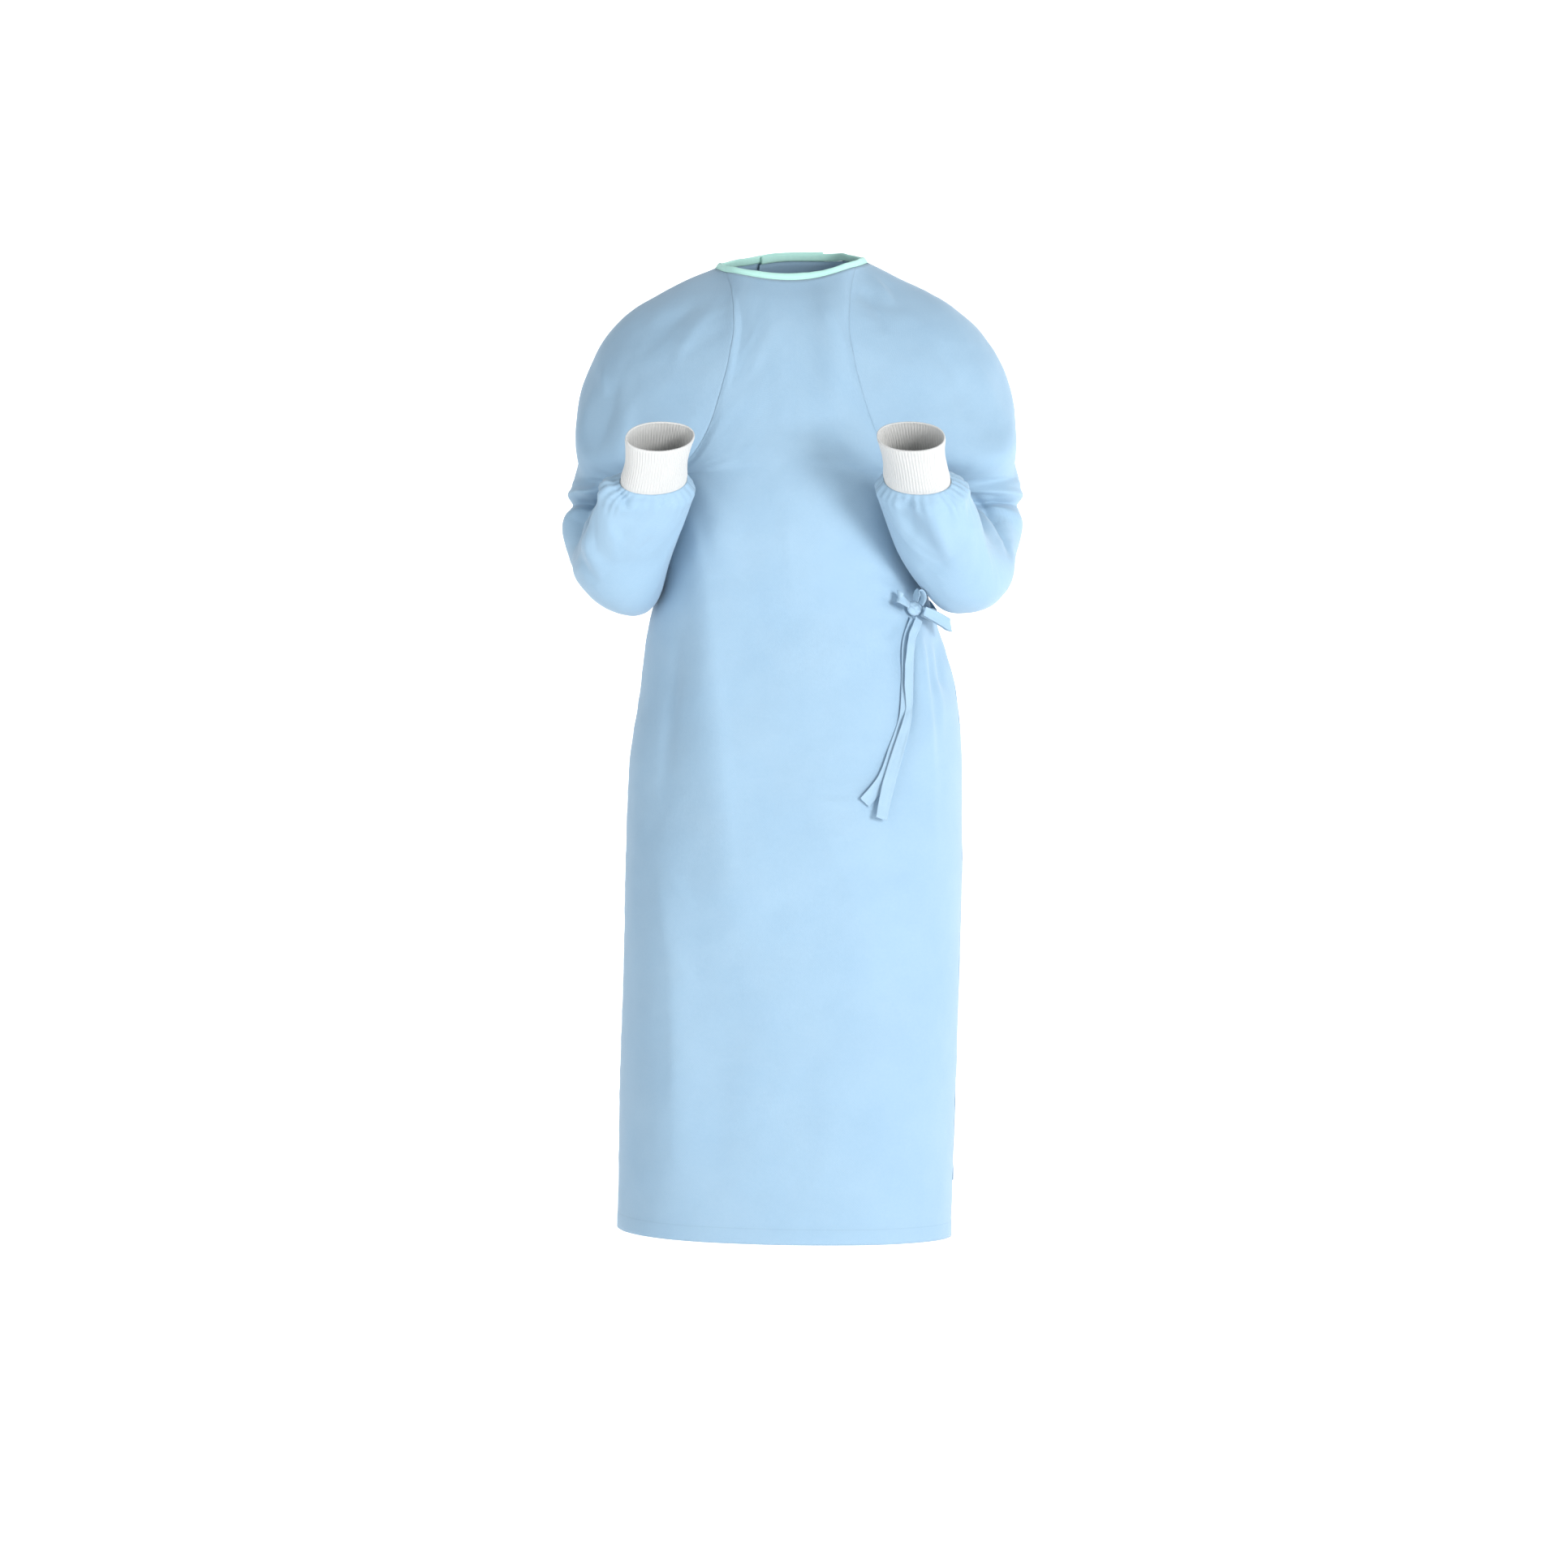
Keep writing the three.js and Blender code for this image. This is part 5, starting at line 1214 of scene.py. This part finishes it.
# %% Hanging ends, loops and the wrap
TAIL_STEPS, LOOP_STEPS, WRAP_STEPS = 90, 60, 80
TAIL_SWAY_AND_SEED = {"long": (0, 80), "short": (2, 90)}
tie_pieces, tie_lengths = {}, {}
for name, rows in TAILS.items():
    places = [on_front(x, z, out) for x, z, out, _ in rows]
    middles = smooth_line([p for p, _ in places], TAIL_STEPS)
    normals = smooth_line([n for _, n in places], TAIL_STEPS)
    at = np.linspace(0, len(rows) - 1, TAIL_STEPS)
    widths = TIE_WIDTH * np.interp(at, np.arange(len(rows)), [r[3] for r in rows])
    start, seed = TAIL_SWAY_AND_SEED[name]
    sway = 0.25 * np.sin(np.linspace(0, 7, TAIL_STEPS) + start)
    across = np.cross(np.gradient(middles, axis=0), normals)
    across += normals * (sway * np.linalg.norm(across, axis=-1))[:, None]
    tie_pieces[name], tie_lengths[name] = ribbon("tie_end_" + name, middles, across, widths, seed)
    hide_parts("tie_tail_" + name)
for name, (across, width, path) in LOOPS.items():
    middles = smooth_line(path, LOOP_STEPS)
    pinch = width * (0.72 + 0.28 * np.sin(np.pi * np.linspace(0, 1, LOOP_STEPS)))
    across = np.array([across] * LOOP_STEPS, float)
    made, length = ribbon("bow_loop_" + name, middles, across, pinch, 100 + len(name), crumpled=0.4)
    tie_pieces["loop_" + name], tie_lengths["loop_" + name] = made, length
    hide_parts("tie_loop_" + name)
print({k: round(v) for k, v in tie_lengths.items()}, "mm")

# %% The wrap from the outer back panel to the knot
level_row = int(np.argmin(np.abs(front[:SKIRT_ROWS, -1, 2] - (KNOT.z - 5))))
start_column = int(np.argmin(np.abs(front[level_row, :, 0] - (KNOT.x + 14))))
wrap_places = []
for s in (0, 0.25, 0.5, 0.75, 1):
    c = start_column + (FRONT_COLUMNS - start_column) * s
    wrap_places.append(on_grid(front, 1, level_row, c, 2.3 + 0.8 * (1 - s)))
under_step, outer_step = (under.shape[1] - 1) / 10, (outer.shape[1] - 1) / 14
wrap_places += [on_grid(under, under_flip, level_row, under_step * 0.3, 2.3 + LAYER_GAP * 0.6),
                on_grid(under, under_flip, level_row, under_step * 0.6, 2.3 + LAYER_GAP * 1.1),
                on_grid(outer, outer_flip, level_row, outer.shape[1] - 1, 3.3),
                on_grid(outer, outer_flip, level_row, outer.shape[1] - 1 - outer_step, 2.3)]
wrap_middles = smooth_line([p for p, _ in wrap_places], WRAP_STEPS)
wrap_normals = smooth_line([n for _, n in wrap_places], WRAP_STEPS)
wrap_across = np.cross(np.gradient(wrap_middles, axis=0), wrap_normals)
wrap_widths = np.full(WRAP_STEPS, TIE_WIDTH)
made, length = ribbon("tie_wrap_tape", wrap_middles, wrap_across, wrap_widths, 120)
tie_pieces["wrap"], tie_lengths["wrap"] = made, length
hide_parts("tie_wrap")
print("the wrap starts at column", start_column, "of the front")


# %% The knot: a squeezed roll of tape with two turns round it
def knot_points():
    place, normal = on_front(KNOT.x, KNOT.z, KNOT.half_thickness + KNOT.seat)
    sideways = np.cross([0, 0, 1], normal)
    sideways /= np.linalg.norm(sideways)
    upwards = np.cross(normal, sideways)
    tall = np.linspace(0, np.pi, 41)[:, None]
    round_it = np.linspace(0, 2 * np.pi, 72, endpoint=False)[None, :]
    a = np.sin(tall) * np.cos(round_it)
    b = np.cos(tall) + 0 * round_it
    c = np.sin(tall) * np.sin(round_it)
    turn = a * 0.8 + b * 0.6
    groove = -0.1 * np.exp(-(((turn - 0.38) / 0.1) ** 2)) - 0.09 * np.exp(-(((turn + 0.42) / 0.1) ** 2))
    along = b * 0.8 - a * 0.6
    creases = 0.05 * np.sin(9 * along + 2 * turn) * np.exp(-((turn / 0.45) ** 2))
    creases = creases - 0.07 * np.exp(-((along / 0.12) ** 2)) * (turn > 0.4)
    size = 0.96 + groove + creases - 0.1 * np.cos(3 * round_it + 0.6) * np.sin(tall) ** 2
    wide = sideways * (a * size * KNOT.half_width)[..., None]
    high = upwards * (b * size * KNOT.half_height)[..., None]
    return place + wide + high + normal * (c * size * KNOT.half_thickness)[..., None]


knot_piece = cloth_piece("bow_knot", knot_points(), -1, tie_blue, 0, seams=(False, False), closed=True)
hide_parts("tie_knot")
for piece in (knot_piece, *tie_pieces.values()):
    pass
print("the bow has", len(tie_pieces) + 1, "pieces")

# %% [markdown]
# ## What each sheet was cut to
# A cutter would lay each panel flat as a row of trapezoids, so its cut is given here as widths in
# metres, from the hem or the neck onwards, and the lengths between them. No pattern was at hand: the
# widths and lengths were read off the drawn cloth, creases included. A length is about the mean of
# the panel's middle and its edges, and both sleeves share one cut. So a share near 1 is how the cut
# was made, and it can't show that a real panel would take this form or that nothing is stretched.
# The sleeves' share is lower because a sleeve is cut as long as its outer side is, and the crook's
# folds hold less cloth than that. Their 0.25 at the cuff, before it is gathered, is a guess. The
# ties' lengths are also those of their drawn middle lines, and only their width is their own.


# %% Flat sizes
def cut(piece, grid, widths, lengths):
    area = sum((a + b) / 2 * length for a, b, length in zip(widths, widths[1:], lengths))
    share = surface_area(grid) / area
    print(piece.name, "cut", round(area, 3), "square metres, drawn share", round(share, 3))


cut(front_piece, front,
    [0.59, 0.485, 0.19, 0.185], [0.94, 0.11, 0.185])
cut(outer_piece, outer,
    [0.565, 0.555, 0.465, 0.375, 0.21, 0.12], [0.455, 0.255, 0.21, 0.125, 0.2])
cut(under_piece, under,
    [0.445, 0.445, 0.38, 0.34, 0.19, 0.115], [0.47, 0.26, 0.21, 0.13, 0.195])
for side in (RIGHT, LEFT):
    cut(sleeve_pieces[side.name], sleeve_grids[side.name],
        [0.12, 0.44, 0.425, 0.395, 0.34, 0.25], [0.22, 0.135, 0.045, 0.305, 0.14])
for name, piece in tie_pieces.items():
    length = round(tie_lengths[name] * MM, 3)

# %% [markdown]
# ## Light
# The photograph looks as if a large soft box lit it from the right, in a white room. Here that is a
# key light on the right, a weaker one on the left, one behind that brightens the right edge, and a
# faint one above. Shade on the cloth is pale blue, never grey, so the room's own light and the
# glowing floor do much of the work, and the key light gives the folds their direction.


# %% Lights and the room's own light
def soft_box(name, place, target, size, power):
    light = bpy.data.lights.new(name, "AREA")
    light.shape, light.size, light.energy = "SQUARE", size, power
    made = bpy.data.objects.new(name, light)
    made.location = place
    way = np.array(target, float) - np.array(place, float)
    tilt = math.atan2(math.hypot(way[0], way[1]), -way[2])
    made.rotation_euler = (tilt, 0, math.atan2(way[1], way[0]) - math.pi / 2)
    scene.collection.objects.link(made)
    return made


soft_box("key", (2.2, -2.9, -0.15), (0, 0, -0.6), 1.1, 94)
soft_box("rim", (2.8, 1.9, 0.1), (0, 0, -0.7), 1.6, 34)
soft_box("fill", (-2.6, -3.2, -0.1), (0, 0, -0.6), 2.4, 34)
soft_box("top", (0, 0.6, 3.0), (0, 0, -0.4), 2.6, 8)
world = bpy.data.worlds.new("room")
world.use_nodes = True
world.node_tree.nodes["Background"].inputs["Color"].default_value = (0.88, 0.95, 1, 1)
world.node_tree.nodes["Background"].inputs["Strength"].default_value = 0.5
scene.world = world
scene.view_settings.view_transform = "Standard"

room = Paint("room_white")
grime = room.node("TexNoise", {}, {"Scale": 3.0, "Detail": 2.0})["Fac"]
room.surface(Base_Color=room.mix(grime * 0.3, (0.9, 0.9, 0.9, 1), (0.86, 0.86, 0.865, 1)), Roughness=0.85)
room.surface(Emission_Color=(1, 1, 1, 1), Emission_Strength=0.5)
floor.data.materials.append(room.material)
